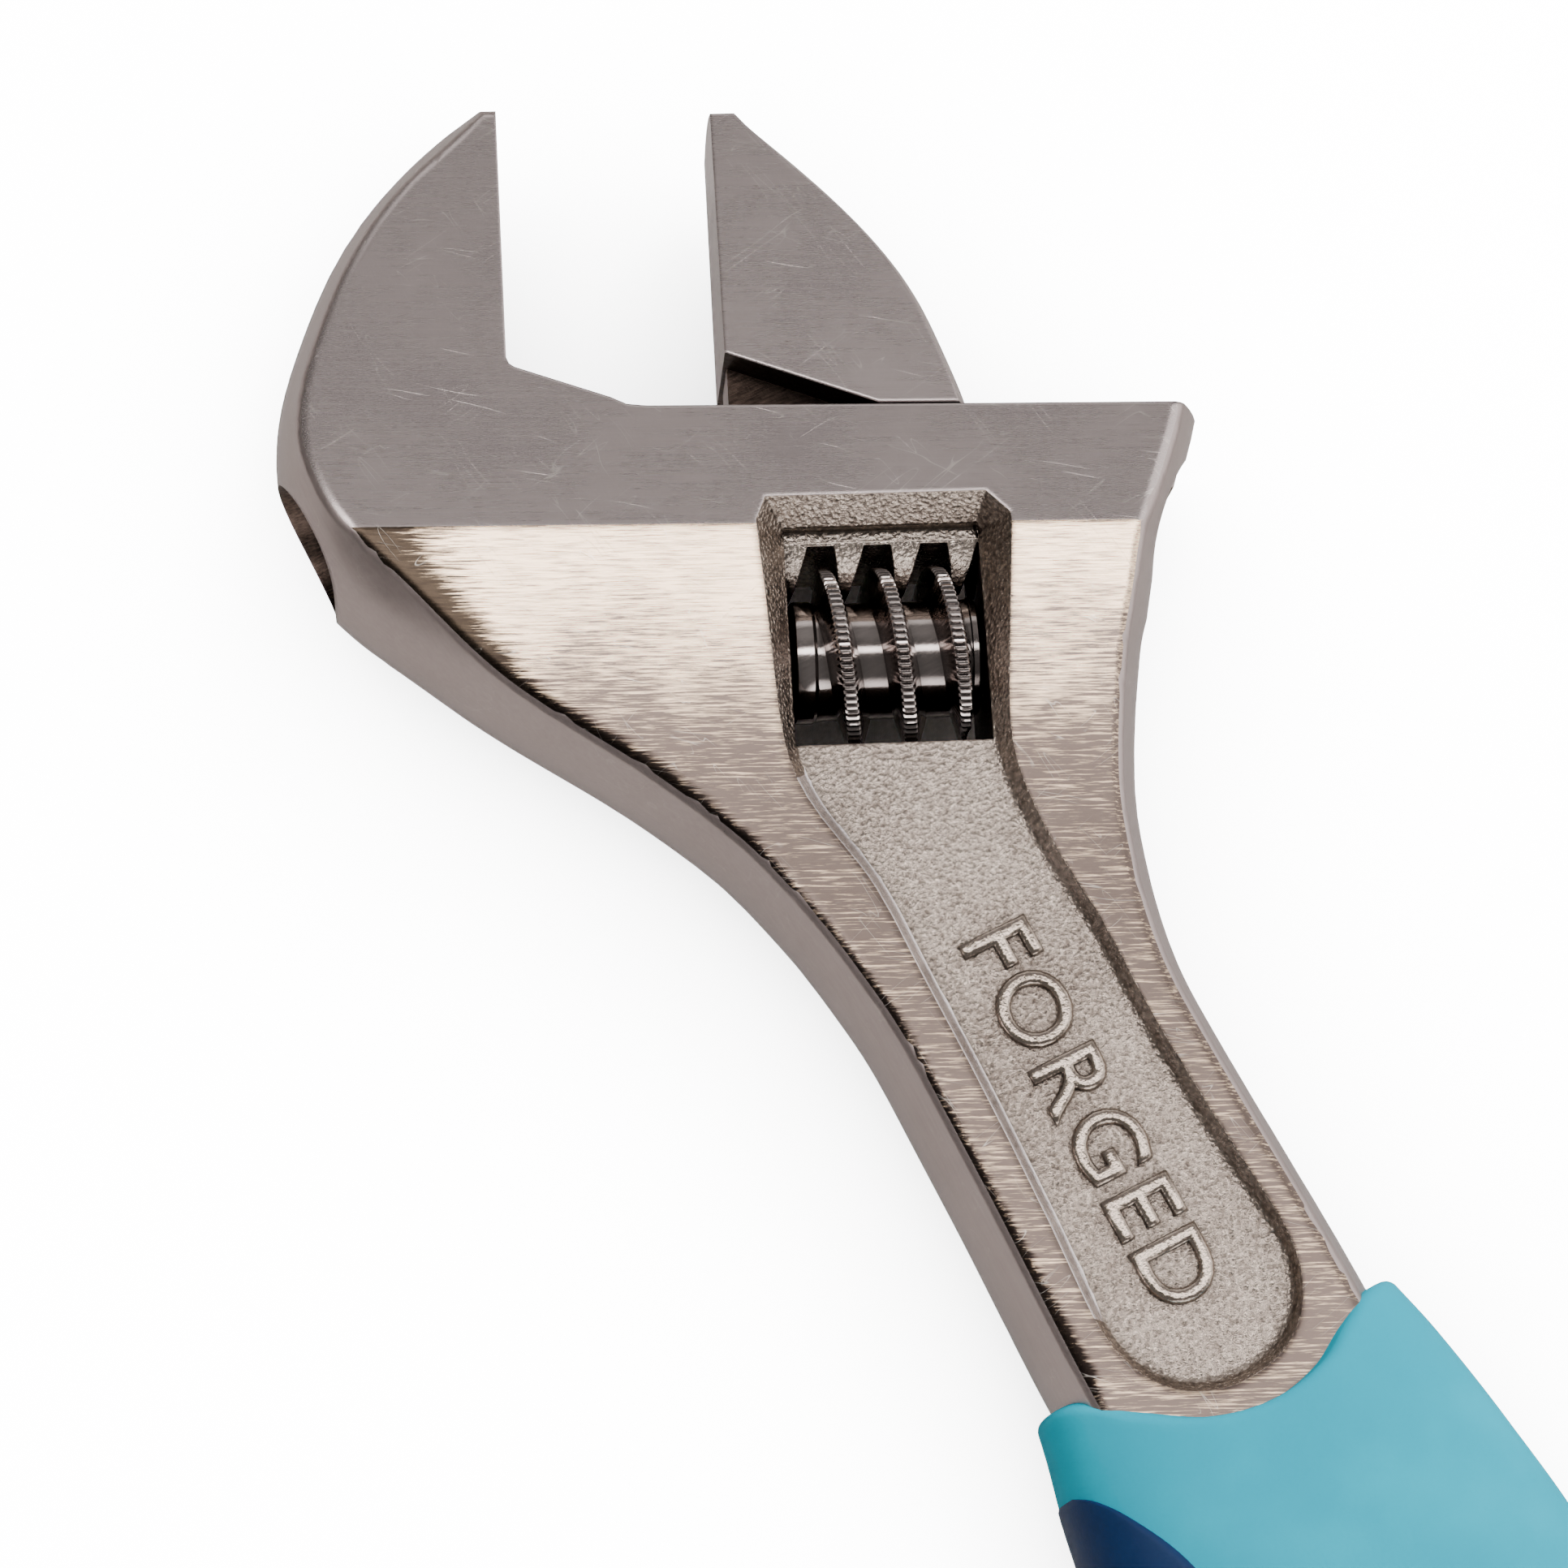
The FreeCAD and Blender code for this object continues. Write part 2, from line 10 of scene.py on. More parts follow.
import logging
import math
from dataclasses import dataclass, field
from enum import Enum
from typing import Callable, Sequence

import bpy
import numpy as np
from mathutils import Matrix, Vector

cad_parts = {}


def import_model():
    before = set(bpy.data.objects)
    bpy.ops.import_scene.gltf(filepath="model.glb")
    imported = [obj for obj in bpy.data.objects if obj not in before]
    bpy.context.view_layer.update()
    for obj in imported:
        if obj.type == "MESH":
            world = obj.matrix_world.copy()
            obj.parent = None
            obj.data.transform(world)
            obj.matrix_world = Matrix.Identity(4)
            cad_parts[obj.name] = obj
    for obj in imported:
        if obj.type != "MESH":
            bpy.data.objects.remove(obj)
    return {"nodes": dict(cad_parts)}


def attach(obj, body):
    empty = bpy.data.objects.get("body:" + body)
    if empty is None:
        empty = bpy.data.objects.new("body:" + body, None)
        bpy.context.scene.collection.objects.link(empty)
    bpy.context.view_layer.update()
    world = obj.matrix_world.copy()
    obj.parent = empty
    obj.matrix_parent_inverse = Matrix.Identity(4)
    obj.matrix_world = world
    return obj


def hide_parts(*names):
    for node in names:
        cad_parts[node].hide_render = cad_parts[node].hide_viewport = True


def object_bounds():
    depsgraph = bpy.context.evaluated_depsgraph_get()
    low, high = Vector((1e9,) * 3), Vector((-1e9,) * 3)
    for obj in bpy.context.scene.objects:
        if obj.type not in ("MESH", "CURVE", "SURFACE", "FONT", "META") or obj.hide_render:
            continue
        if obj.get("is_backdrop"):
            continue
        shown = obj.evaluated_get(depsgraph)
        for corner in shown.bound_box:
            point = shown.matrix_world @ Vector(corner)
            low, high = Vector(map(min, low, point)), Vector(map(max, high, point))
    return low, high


LOG = logging.getLogger("wrench")
MM = 0.001
Point2 = tuple[float, float]
Socket = bpy.types.NodeSocket


# ---- Shared geometry ----


@dataclass(frozen=True)
class HeadFrame:
    """The jaw's own frame: X along the slide, Y to the jaw tips.

    Args:
        angle: how far the jaws lean from the handle, in degrees.
        tilt: how far the head's top edge leans from the slide, in degrees.
        origin: where this frame's origin lies in the part's frame, in mm.
    """

    angle: float = 24.6
    tilt: float = 1.2
    origin: Point2 = (9.3, 210.0)

    def to_part(self, x: float, y: float) -> Point2:
        """Return the part-frame point of a head-frame point."""
        c, s = math.cos(math.radians(self.angle)), math.sin(math.radians(self.angle))
        return self.origin[0] + x * c + y * s, self.origin[1] - x * s + y * c

    def from_part(self, x: float, y: float) -> Point2:
        """Return the head-frame point of a part-frame point."""
        c, s = math.cos(math.radians(self.angle)), math.sin(math.radians(self.angle))
        dx, dy = x - self.origin[0], y - self.origin[1]
        return dx * c - dy * s, dx * s + dy * c

    def depth(self, x: float, y: float) -> float:
        """Return how far a part-frame point lies above the head's top edge, negative inside the head."""
        turn = math.radians(self.angle + self.tilt)
        return (x - self.origin[0]) * math.sin(turn) + (y - self.origin[1]) * math.cos(turn)

    def matrix(self) -> Matrix:
        """Return the 4x4 matrix that takes head-frame metres to part-frame metres."""
        turn = Matrix.Rotation(-math.radians(self.angle), 4, "Z")
        return Matrix.Translation((self.origin[0] * MM, self.origin[1] * MM, 0.0)) @ turn


HEAD = HeadFrame()

# Depths below the head's top edge, and half thicknesses, of the forging
CREASE_Y, SWEEP_END_Y, SWEEP_POWER = -9.9, -38.0, 1.6
HEAD_HALF, SHANK_HALF = 8.0, 6.2
TIP_THINNING, TIP_RUN = 3.2, 37.3

# Left edge of the brushed slope in the head's frame, where shade is painted for its rolled edge: place along
# Y, its X, and how wide that painted shade is
ROLLED_EDGE = (
    (-75.0, 13.0, 0.9), (-47.0, 0.0, 1.1), (-34.0, -9.6, 1.3), (-28.0, -16.4, 1.6), (-22.0, -25.8, 2.1),
    (-16.0, -31.7, 3.6), (-10.0, -37.7, 7.0),
)
# What scales those X places and widths to the 0 to 1 of a colour ramp
ROLLED_SHIFT, ROLLED_TOP_X, ROLLED_TOP_WIDTH = 40.0, 60.0, 10.0

# Stray scratches: degrees turned, length in mm and width in mm
SCRATCH_RUNS = ((38.0, 9.0, 0.9), (-12.0, 7.0, 0.8), (81.0, 6.0, 0.7))


def smooth_curve(knots: Sequence[Point2]) -> Callable[[float], float]:
    """Return a smooth function through knots of (position, value).

    Args:
        knots: at least two points in rising order of position.

    Returns:
        A function with Catmull-Rom slopes that holds its end values outside the knots.
    """
    xs = [k[0] for k in knots]
    ys = [k[1] for k in knots]
    slopes = []
    for i in range(len(xs)):
        low, high = max(i - 1, 0), min(i + 1, len(xs) - 1)
        slopes.append((ys[high] - ys[low]) / (xs[high] - xs[low]))

    def value(x: float) -> float:
        if x <= xs[0]:
            return ys[0]
        if x >= xs[-1]:
            return ys[-1]
        i = int(np.searchsorted(xs, x, side="right")) - 1
        span = xs[i + 1] - xs[i]
        t = (x - xs[i]) / span
        return (
            (2 * t**3 - 3 * t**2 + 1) * ys[i]
            + (t**3 - 2 * t**2 + t) * span * slopes[i]
            + (3 * t**2 - 2 * t**3) * ys[i + 1]
            + (t**3 - t**2) * span * slopes[i + 1]
        )

    return value


def smoothstep(low: float, high: float, x: float) -> float:
    """Return 0 below low, 1 above high and a smooth step between."""
    t = min(max((x - low) / (high - low), 0.0), 1.0)
    return t * t * (3 - 2 * t)


def inside(point: Point2, outline: Sequence[Point2]) -> bool:
    """Return whether a point lies inside a closed outline."""
    x, y = point
    found = False
    for (x0, y0), (x1, y1) in zip(outline, list(outline[1:]) + [outline[0]]):
        if (y0 > y) != (y1 > y) and x < (x1 - x0) * (y - y0) / (y1 - y0) + x0:
            found = not found
    return found


def make_mesh(name: str, points: Sequence, faces: Sequence[Sequence[int]]) -> bpy.types.Object:
    """Make a smoothly shaded mesh object from points in millimetres.

    Args:
        name: name of the object and of its mesh.
        points: corners in mm.
        faces: corner numbers of each face.

    Returns:
        The new object, linked to the scene.
    """
    mesh = bpy.data.meshes.new(name)
    mesh.from_pydata([tuple(c * MM for c in p) for p in points], [], [tuple(f) for f in faces])
    mesh.validate()
    mesh.update()
    mesh.shade_smooth()
    made = bpy.data.objects.new(name, mesh)
    bpy.context.scene.collection.objects.link(made)
    return made


def grid_faces(rows: int, columns: int, wrap: bool) -> list[tuple[int, int, int, int]]:
    """Return the quads of a grid of points stored row by row.

    Args:
        rows: how many rows of points there are.
        columns: how many points a row holds.
        wrap: whether the last column joins the first.
    """
    faces = []
    for i in range(rows - 1):
        for j in range(columns if wrap else columns - 1):
            k = (j + 1) % columns
            faces.append((i * columns + j, i * columns + k, (i + 1) * columns + k, (i + 1) * columns + j))
    return faces


# ---- Materials ----


def linear(code: str) -> tuple[float, float, float, float]:
    """Turn an sRGB hex colour such as 8a8078 into linear light."""
    out = []
    for i in (0, 2, 4):
        c = int(code[i : i + 2], 16) / 255
        out.append(c / 12.92 if c <= 0.04045 else ((c + 0.055) / 1.055) ** 2.4)
    return out[0], out[1], out[2], 1.0


class Graph:
    """One material's node tree, with a short way to add nodes."""

    def __init__(self, name: str) -> None:
        """Start an empty material.

        Args:
            name: the material's name.
        """
        self.material = bpy.data.materials.new(name)
        self.material.use_nodes = True
        self.nodes = self.material.node_tree.nodes
        self.links = self.material.node_tree.links
        self.nodes.clear()
        self.out = self.nodes.new("ShaderNodeOutputMaterial")

    def add(self, kind: str, inputs: dict | None = None, **settings) -> bpy.types.Node:
        """Add a node, set its properties, and fill or link its inputs.

        Args:
            kind: the node's type without the ShaderNode prefix.
            inputs: input name or number to a value or to another node's output.
            settings: properties of the node itself.

        Returns:
            The new node.
        """
        node = self.nodes.new("ShaderNode" + kind)
        for key, value in settings.items():
            setattr(node, key, value)
        for key, value in (inputs or {}).items():
            if isinstance(value, Socket):
                self.links.new(value, node.inputs[key])
            else:
                node.inputs[key].default_value = value
        return node

    def ramp(self, factor: Socket, stops: Sequence[tuple[float, tuple]], ease: bool = True) -> Socket:
        """Map a factor through coloured stops and return the colour."""
        node = self.add("ValToRGB", {"Fac": factor})
        node.color_ramp.interpolation = "EASE" if ease else "LINEAR"
        elements = node.color_ramp.elements
        while len(elements) < len(stops):
            elements.new(0.5)
        for element, (position, colour) in zip(elements, stops):
            element.position = position
            element.color = colour
        return node.outputs["Color"]

    def math(self, operation: str, a: Socket | float, b: Socket | float = 0.0) -> Socket:
        """Return the result of one maths operation."""
        return self.add("Math", {0: a, 1: b}, operation=operation).outputs[0]

    def plus(self, a: Socket | float, b: Socket | float) -> Socket:
        """Return a plus b."""
        return self.math("ADD", a, b)

    def minus(self, a: Socket | float, b: Socket | float) -> Socket:
        """Return a minus b."""
        return self.math("SUBTRACT", a, b)

    def times(self, a: Socket | float, b: Socket | float) -> Socket:
        """Return a times b."""
        return self.math("MULTIPLY", a, b)

    def mix(self, factor: Socket | float, a: Socket | tuple, b: Socket | tuple) -> Socket:
        """Return colour a blended with colour b."""
        node = self.add("Mix", data_type="RGBA")
        for key, value in ((0, factor), (6, a), (7, b)):
            if isinstance(value, Socket):
                self.links.new(value, node.inputs[key])
            else:
                node.inputs[key].default_value = value
        return node.outputs[2]

    def position(self, turn: float = 0.0, scale: Sequence[float] = (1, 1, 1)) -> Socket:
        """Return object coordinates turned about Z by degrees, then scaled."""
        raw = self.add("TexCoord").outputs["Object"]
        turned = self.add("Mapping", {0: raw, "Rotation": (0, 0, math.radians(turn))})
        return self.add("Mapping", {0: turned.outputs[0], "Scale": scale}).outputs[0]

    def along(self, degrees: float) -> Socket:
        """Return a point's distance in mm from the head's origin along a direction in degrees from X."""
        way = (math.cos(math.radians(degrees)) / MM, math.sin(math.radians(degrees)) / MM, 0.0)
        raw = self.add("TexCoord").outputs["Object"]
        here = self.add("VectorMath", {0: raw, 1: way}, operation="DOT_PRODUCT").outputs["Value"]
        return self.minus(here, (HEAD.origin[0] * way[0] + HEAD.origin[1] * way[1]) * MM)

    def noise(self, at: Socket, scale: float = 1.0, detail: float = 2.0, rough: float = 0.5) -> Socket:
        """Return a noise factor around 0.5 at the given coordinates."""
        node = self.add("TexNoise", {"Vector": at, "Scale": scale, "Detail": detail, "Roughness": rough})
        return node.outputs["Fac"]

    def span(self, value: Socket, source: Point2, to: Point2 = (0.0, 1.0), smooth: bool = False) -> Socket:
        """Map a value from one range to another, held at both ends."""
        limits = {"From Min": source[0], "From Max": source[1], "To Min": to[0], "To Max": to[1]}
        kind = "SMOOTHSTEP" if smooth else "LINEAR"
        return self.add("MapRange", {"Value": value, **limits}, interpolation_type=kind).outputs[0]

    def bump(self, height: Socket, depth_mm: float, normal: Socket, strength: float = 1.0) -> Socket:
        """Return the normal bent by a height map that is depth_mm deep."""
        return self.add("Bump", {"Height": height, "Strength": strength, "Distance": depth_mm * MM,
                                 "Normal": normal}).outputs[0]

    def finish(self, shader: bpy.types.Node) -> bpy.types.Material:
        """Link the shader to the output and return the material."""
        self.links.new(shader.outputs[0], self.out.inputs["Surface"])
        return self.material


class Lay(Enum):
    """Direction of the grinding marks, as degrees turned from the part's X axis."""

    ACROSS_HEAD = 25.8
    ALONG_HANDLE = 90.0
    NONE = 0.0


@dataclass(frozen=True)
class MetalFinish:
    """A plated steel surface with its machining marks.

    Args:
        name: real material and process.
        light: hex colour where the plating is bright.
        dark: hex colour where it is dull.
        roughness: lowest and highest microfacet roughness.
        lay: direction of the marks.
        mark_mm: length and width of a grinding mark.
        mark_depth: bump distance of the marks, in mm.
        grain_mm: size of the grain under the marks.
        grain_depth: bump distance of the grain, in mm.
        scratches: how strongly stray scratches show.
        edge_mm: radius that edges are shaded with.
        blotch: how far the colour wanders at large scale.
        streak: how strongly the marks show in the colour.
        corner_shade: how strongly painted shade darkens the inner corners.
        corner_shade_mm: reach of that painted shade out of a corner.
        wear_and_fade_from: depth below the head's top edge, in mm, where the fine polish starts to end and
            the painted reflection starts to fade.
        wear_and_fade_to: depth where only the coarse marks are left and the painted reflection has faded, or
            0 where the finish is even.
        rolled: how far painted shade darkens the colour along the rolled left edge.
    """

    name: str
    light: str
    dark: str
    roughness: tuple[float, float]
    lay: Lay = Lay.NONE
    mark_mm: tuple[float, float] = (4.0, 0.12)
    mark_depth: float = 0.0
    grain_mm: float = 0.3
    grain_depth: float = 0.0
    scratches: float = 0.0
    edge_mm: float = 0.15
    blotch: float = 0.25
    streak: float = 0.6
    corner_shade: float = 0.0
    corner_shade_mm: float = 2.5
    wear_and_fade_from: float = 0.0
    wear_and_fade_to: float = 0.0
    rolled: float = 0.0

    def build(self) -> bpy.types.Material:
        """Make the material."""
        g = Graph(self.name)
        along, across = (1000.0 / m for m in self.mark_mm)
        streak = g.noise(g.position(self.lay.value, (along, across, across)), 1.0, 4.0, 0.62)
        cloud = g.noise(g.position(), 90.0, 4.0, 0.6)
        grain = self._grain(g)
        coarse = self._wear_and_fade(g, cloud) if self.wear_and_fade_to else None
        colour = g.ramp(self._tone(g, streak, cloud, grain, coarse),
                        [(0.1, linear(self.dark)), (0.9, linear(self.light))], ease=False)
        # Painted shade along the rolled left edge of the slope
        if self.rolled:
            colour = self._painted_roll_shade(g, streak, colour)
        normal = g.add("Bevel", {"Radius": self.edge_mm * MM}, samples=8).outputs[0]
        if self.grain_depth:
            normal = g.bump(grain, self.grain_depth, normal)
        if self.mark_depth:
            fine_at = g.position(self.lay.value, (along * 1.7, across * 3.1, across * 3.1))
            fine = g.noise(fine_at, 1.0, 2.0, 0.5)
            marks = g.plus(g.times(streak, 0.7), g.times(fine, 0.3))
            normal = g.bump(marks, self.mark_depth, normal)
        if self.scratches:
            normal, colour = self._scratch(g, normal, colour)
        # Painted shade: an ambient occlusion test darkens the colour towards a near-black brown in closed-in
        # corners
        if self.corner_shade:
            open_sky = g.add("AmbientOcclusion", {"Distance": self.corner_shade_mm * MM}, samples=6).outputs["AO"]
            colour = g.mix(g.span(open_sky, (0.30, 0.95), (1 - self.corner_shade, 1.0)), linear("171210"), colour)
        shader = g.add("BsdfPrincipled", {"Base Color": colour, "Metallic": 1.0, "Normal": normal,
                                          "Roughness": self._roughness(g, streak, cloud, coarse)})
        return g.finish(shader)

    def _tone(self, g: Graph, streak: Socket, cloud: Socket, grain: Socket, coarse: Socket | None) -> Socket:
        """Return how light the plating is, around a half."""
        wander = g.times(g.minus(cloud, 0.5), self.blotch * 2)
        lines = g.times(g.minus(streak, 0.5), self.streak * 4)
        if coarse:
            lines = g.times(lines, g.plus(g.times(coarse, 0.35), 0.65))
        tone = g.plus(g.plus(wander, lines), 0.5)
        # Painted reflection: the plating darkens down the shank, where the marks turn coarse
        if coarse:
            tone = g.minus(g.plus(tone, 0.2), g.times(coarse, 0.7))
        if self.grain_depth > 0.05:
            tone = g.plus(tone, g.times(g.minus(grain, 0.5), 1.2))
        return tone

    def _roughness(self, g: Graph, streak: Socket, cloud: Socket, coarse: Socket | None) -> Socket:
        """Return the roughness, which wanders with the marks and rises where they are coarse."""
        both = g.plus(g.times(streak, 0.5), g.times(cloud, 0.5))
        rough = g.span(both, (0.3, 0.7), self.roughness)
        return g.plus(rough, g.times(coarse, 0.16)) if coarse else rough

    def _grain(self, g: Graph) -> Socket:
        """Return the height of the grain, which is rounded bumps where it is deep."""
        at = g.position()
        fine = g.noise(at, 1000.0 / self.grain_mm, 3.0, 0.65)
        if self.grain_depth < 0.1:
            return fine
        cells = g.add("TexVoronoi", {"Vector": at, "Scale": 1000.0 / self.grain_mm}, feature="SMOOTH_F1")
        bump = g.minus(1.0, cells.outputs["Distance"])
        return g.plus(g.times(bump, 0.5), g.times(fine, 0.5))

    def _painted_roll_shade(self, g: Graph, streak: Socket, colour: Socket) -> Socket:
        """Paint shade into the colour along the rolled left edge, with a ragged inner border that follows the
        marks.
        """
        low, high = ROLLED_EDGE[0][0], ROLLED_EDGE[-1][0]
        place = g.span(g.along(90.0 - HEAD.angle), (low, high))
        edges, widths = [], []
        for y, x, width in ROLLED_EDGE:
            at = (y - low) / (high - low)
            edges.append((at, ((x + ROLLED_SHIFT) / ROLLED_TOP_X,) * 3 + (1.0,)))
            widths.append((at, (width / ROLLED_TOP_WIDTH,) * 3 + (1.0,)))
        edge = g.times(g.ramp(place, edges, ease=False), ROLLED_TOP_X)
        width = g.times(g.ramp(place, widths, ease=False), ROLLED_TOP_WIDTH)
        inner = g.minus(g.plus(g.along(-HEAD.angle), ROLLED_SHIFT), edge)
        share = g.math("DIVIDE", inner, width)
        share = g.plus(share, g.times(g.minus(streak, 0.5), 2.0))
        return g.mix(g.span(share, (0.6, 1.2), (self.rolled, 0.0)), colour, linear("171210"))

    def _wear_and_fade(self, g: Graph, cloud: Socket) -> Socket:
        """Return 0 where the fine polish is whole and 1 where only coarse marks are left, which also sets how
        far the painted reflection has faded.
        """
        depth = g.along(90.0 - HEAD.angle - HEAD.tilt)
        depth = g.plus(depth, g.times(g.minus(cloud, 0.5), 14.0))
        return g.span(depth, (self.wear_and_fade_from, self.wear_and_fade_to), smooth=True)

    def _scratch(self, g: Graph, normal: Socket, colour: Socket) -> tuple[Socket, Socket]:
        """Add thin stray scratches in three directions."""
        lines = 0.0
        for turn, length, width in SCRATCH_RUNS:
            raw = g.noise(g.position(turn, (1000 / length, 1000 / width, 1000 / width)), 1.0, 0.0, 0.5)
            thin = g.span(g.math("ABSOLUTE", g.minus(raw, 0.5)), (0.0, 0.012), (1.0, 0.0))
            gate = g.noise(g.position(turn, (160.0, 420.0, 160.0)), 1.0, 1.0, 0.5)
            line = g.times(thin, g.span(gate, (0.57, 0.66)))
            lines = g.math("MAXIMUM", lines, line)
        lines = g.times(lines, self.scratches)
        normal = g.bump(g.times(lines, -1.0), 0.006, normal, 0.6)
        return normal, g.mix(g.times(lines, 0.45), colour, linear("f2ece4"))


@dataclass(frozen=True)
class RubberFinish:
    """A moulded thermoplastic rubber skin.

    Args:
        name: real material and process.
        colour: hex colour of the lit skin.
        shade: hex colour in its dull patches.
        roughness: microfacet roughness.
        sheen: weight of the dusty sheen at grazing angles.
        grain_mm: pitch of the moulded grain.
        grain_depth: depth of the grain, in mm.
        shine: how much of plain rubber's surface shine is left.
    """

    name: str
    colour: str
    shade: str
    roughness: float = 0.5
    sheen: float = 0.1
    grain_mm: float = 0.22
    grain_depth: float = 0.02
    shine: float = 0.2

    def build(self) -> bpy.types.Material:
        """Make the material."""
        g = Graph(self.name)
        at = g.position()
        cloud = g.noise(at, 70.0, 3.0, 0.55)
        cells = g.add("TexVoronoi", {"Vector": at, "Scale": 1000.0 / self.grain_mm}, feature="SMOOTH_F1")
        fine = g.noise(at, 2600.0 / self.grain_mm, 2.0, 0.5)
        height = g.plus(g.times(cells.outputs["Distance"], 0.7), g.times(fine, 0.3))
        colour = g.ramp(cloud, [(0.35, linear(self.shade)), (0.65, linear(self.colour))])
        rough = g.span(cloud, (0.3, 0.7), (self.roughness - 0.05, self.roughness + 0.06))
        normal = g.add("Bump", {"Height": height, "Strength": 0.6, "Distance": self.grain_depth * MM})
        shader = g.add("BsdfPrincipled", {"Base Color": colour, "Metallic": 0.0, "Roughness": rough,
                                          "IOR": 1.5, "Specular IOR Level": self.shine,
                                          "Normal": normal.outputs[0], "Sheen Weight": self.sheen,
                                          "Sheen Roughness": 0.4})
        return g.finish(shader)


# Ground and nickel plated: an even satin with hair-fine marks, smoky where it reflects the dark side
GROUND = MetalFinish(
    "nickel_plated_steel_satin_ground", light="c9bebd", dark="aba1a0", roughness=(0.24, 0.32),
    lay=Lay.ACROSS_HEAD, mark_mm=(7.0, 0.09), mark_depth=0.0004, grain_mm=0.22, grain_depth=0.004,
    scratches=1.0, edge_mm=0.45, blotch=0.1, streak=0.1,
)
# Belt brushed and nickel plated: mirror-like just under the crease, with short open marks down the shank, a
# painted reflection that fades down the shank and painted shade along the rolled left edge
BRUSHED = MetalFinish(
    "nickel_plated_steel_belt_brushed", light="ffe2c2", dark="6c605a", roughness=(0.15, 0.24),
    lay=Lay.ACROSS_HEAD, mark_mm=(2.8, 0.15), mark_depth=0.008, grain_mm=0.25, grain_depth=0.004,
    scratches=0.7, edge_mm=0.95, blotch=0.24, streak=0.95, wear_and_fade_from=-12.0, wear_and_fade_to=-31.0, rolled=0.96,
)
# Forged skin, blasted and plated: small rounded bumps that sparkle, with painted shade in the corners
CAST = MetalFinish(
    "nickel_plated_steel_forged_skin", light="cabdb1", dark="5e524b", roughness=(0.16, 0.28),
    mark_mm=(0.8, 0.5), mark_depth=0.02, grain_mm=0.29, grain_depth=0.17, edge_mm=0.25, blotch=0.3,
    streak=0.2, corner_shade=0.85, corner_shade_mm=2.2,
)
# Forged lettering, rubbed smooth on its rounded tops
LETTERED = MetalFinish(
    "nickel_plated_steel_forged_lettering", light="c2b5a9", dark="85796f", roughness=(0.12, 0.22),
    mark_mm=(0.8, 0.5), mark_depth=0.01, grain_mm=0.4, grain_depth=0.05, edge_mm=0.2, streak=0.1,
    corner_shade=0.9, corner_shade_mm=0.9,
)
# Upper edge of the pocket on its lit side, painted as a highlight with a lighter copy of the plating
RUBBED = MetalFinish(
    "nickel_plated_steel_edge_painted_highlight", light="f6f1f2", dark="c9c1c1", roughness=(0.2, 0.3),
    lay=Lay.ALONG_HANDLE, mark_mm=(2.0, 0.12), mark_depth=0.006, grain_depth=0.03, edge_mm=0.7, blotch=0.2,
    streak=0.3,
)
# Rack cast with the jaw, with cleaner faces than the pocket
RACK = MetalFinish(
    "nickel_plated_steel_cast_rack", light="e8dccf", dark="92867e", roughness=(0.14, 0.26),
    mark_mm=(0.8, 0.5), mark_depth=0.02, grain_depth=0.13, blotch=0.3, streak=0.2, corner_shade=0.9, corner_shade_mm=1.2,
)
# Linished sides: softer than the faces, with faint marks along the edge
SIDE = MetalFinish(
    "nickel_plated_steel_linished_side", light="bbafad", dark="a09492", roughness=(0.27, 0.36),
    lay=Lay.ALONG_HANDLE, mark_mm=(6.0, 0.25), mark_depth=0.003, grain_mm=0.18, grain_depth=0.006,
    scratches=0.25, edge_mm=0.4, blotch=0.35, streak=0.12,
)
# Bored and left as machined: dull, with a dark painted shade inside the holes; the same dark finish is
# painted shade on the worm window's lower walls and under the movable jaw
BORED = MetalFinish(
    "steel_bored_painted_shade", light="75655c", dark="2c2420", roughness=(0.3, 0.5), mark_mm=(1.5, 0.15),
    mark_depth=0.01, grain_mm=0.5, grain_depth=0.04, edge_mm=0.1, blotch=0.6, streak=0.4, corner_shade=0.97,
    corner_shade_mm=5.0,
)
# Hard chromed thread, bright between darker lines
CHROMED = MetalFinish(
    "steel_turned_chrome_plated", light="c6bdb9", dark="8e8685", roughness=(0.07, 0.15),
    mark_mm=(2.0, 0.3), mark_depth=0.002, grain_mm=0.2, grain_depth=0.003, edge_mm=0.05, blotch=0.2,
    streak=0.1, corner_shade=0.97, corner_shade_mm=2.0,
)
# Bright spring wire and pin, turned
TURNED = MetalFinish(
    "steel_turned", light="a89e97", dark="7b726c", roughness=(0.22, 0.34), mark_mm=(1.5, 0.1),
    mark_depth=0.004, grain_mm=0.2, grain_depth=0.004, edge_mm=0.08, streak=0.3, corner_shade=0.8, corner_shade_mm=2.0,
)
# Soft moulded sleeve: clear turquoise with a low sheen
TURQUOISE = RubberFinish(
    "thermoplastic_rubber_turquoise_moulded", colour="00a4bd", shade="0099b2", roughness=0.6, sheen=0.0,
    shine=0.07,
)
# Harder inlay: deep blue, slightly smoother
NAVY = RubberFinish(
    "thermoplastic_rubber_navy_moulded", colour="0b2c58", shade="09264d", roughness=0.48, sheen=0.0,
)


# ---- The forging and the jaw ----


class Region(Enum):
    """Kinds of surface on the forged pieces, each with its own finish."""

    GROUND = 0
    BRUSHED = 1
    CAST = 2
    SIDE = 3
    BORED = 4
    RACK = 5
    RUBBED = 6


FINISH_OF = dict(zip(Region, (GROUND, BRUSHED, CAST, SIDE, BORED, RACK, RUBBED)))


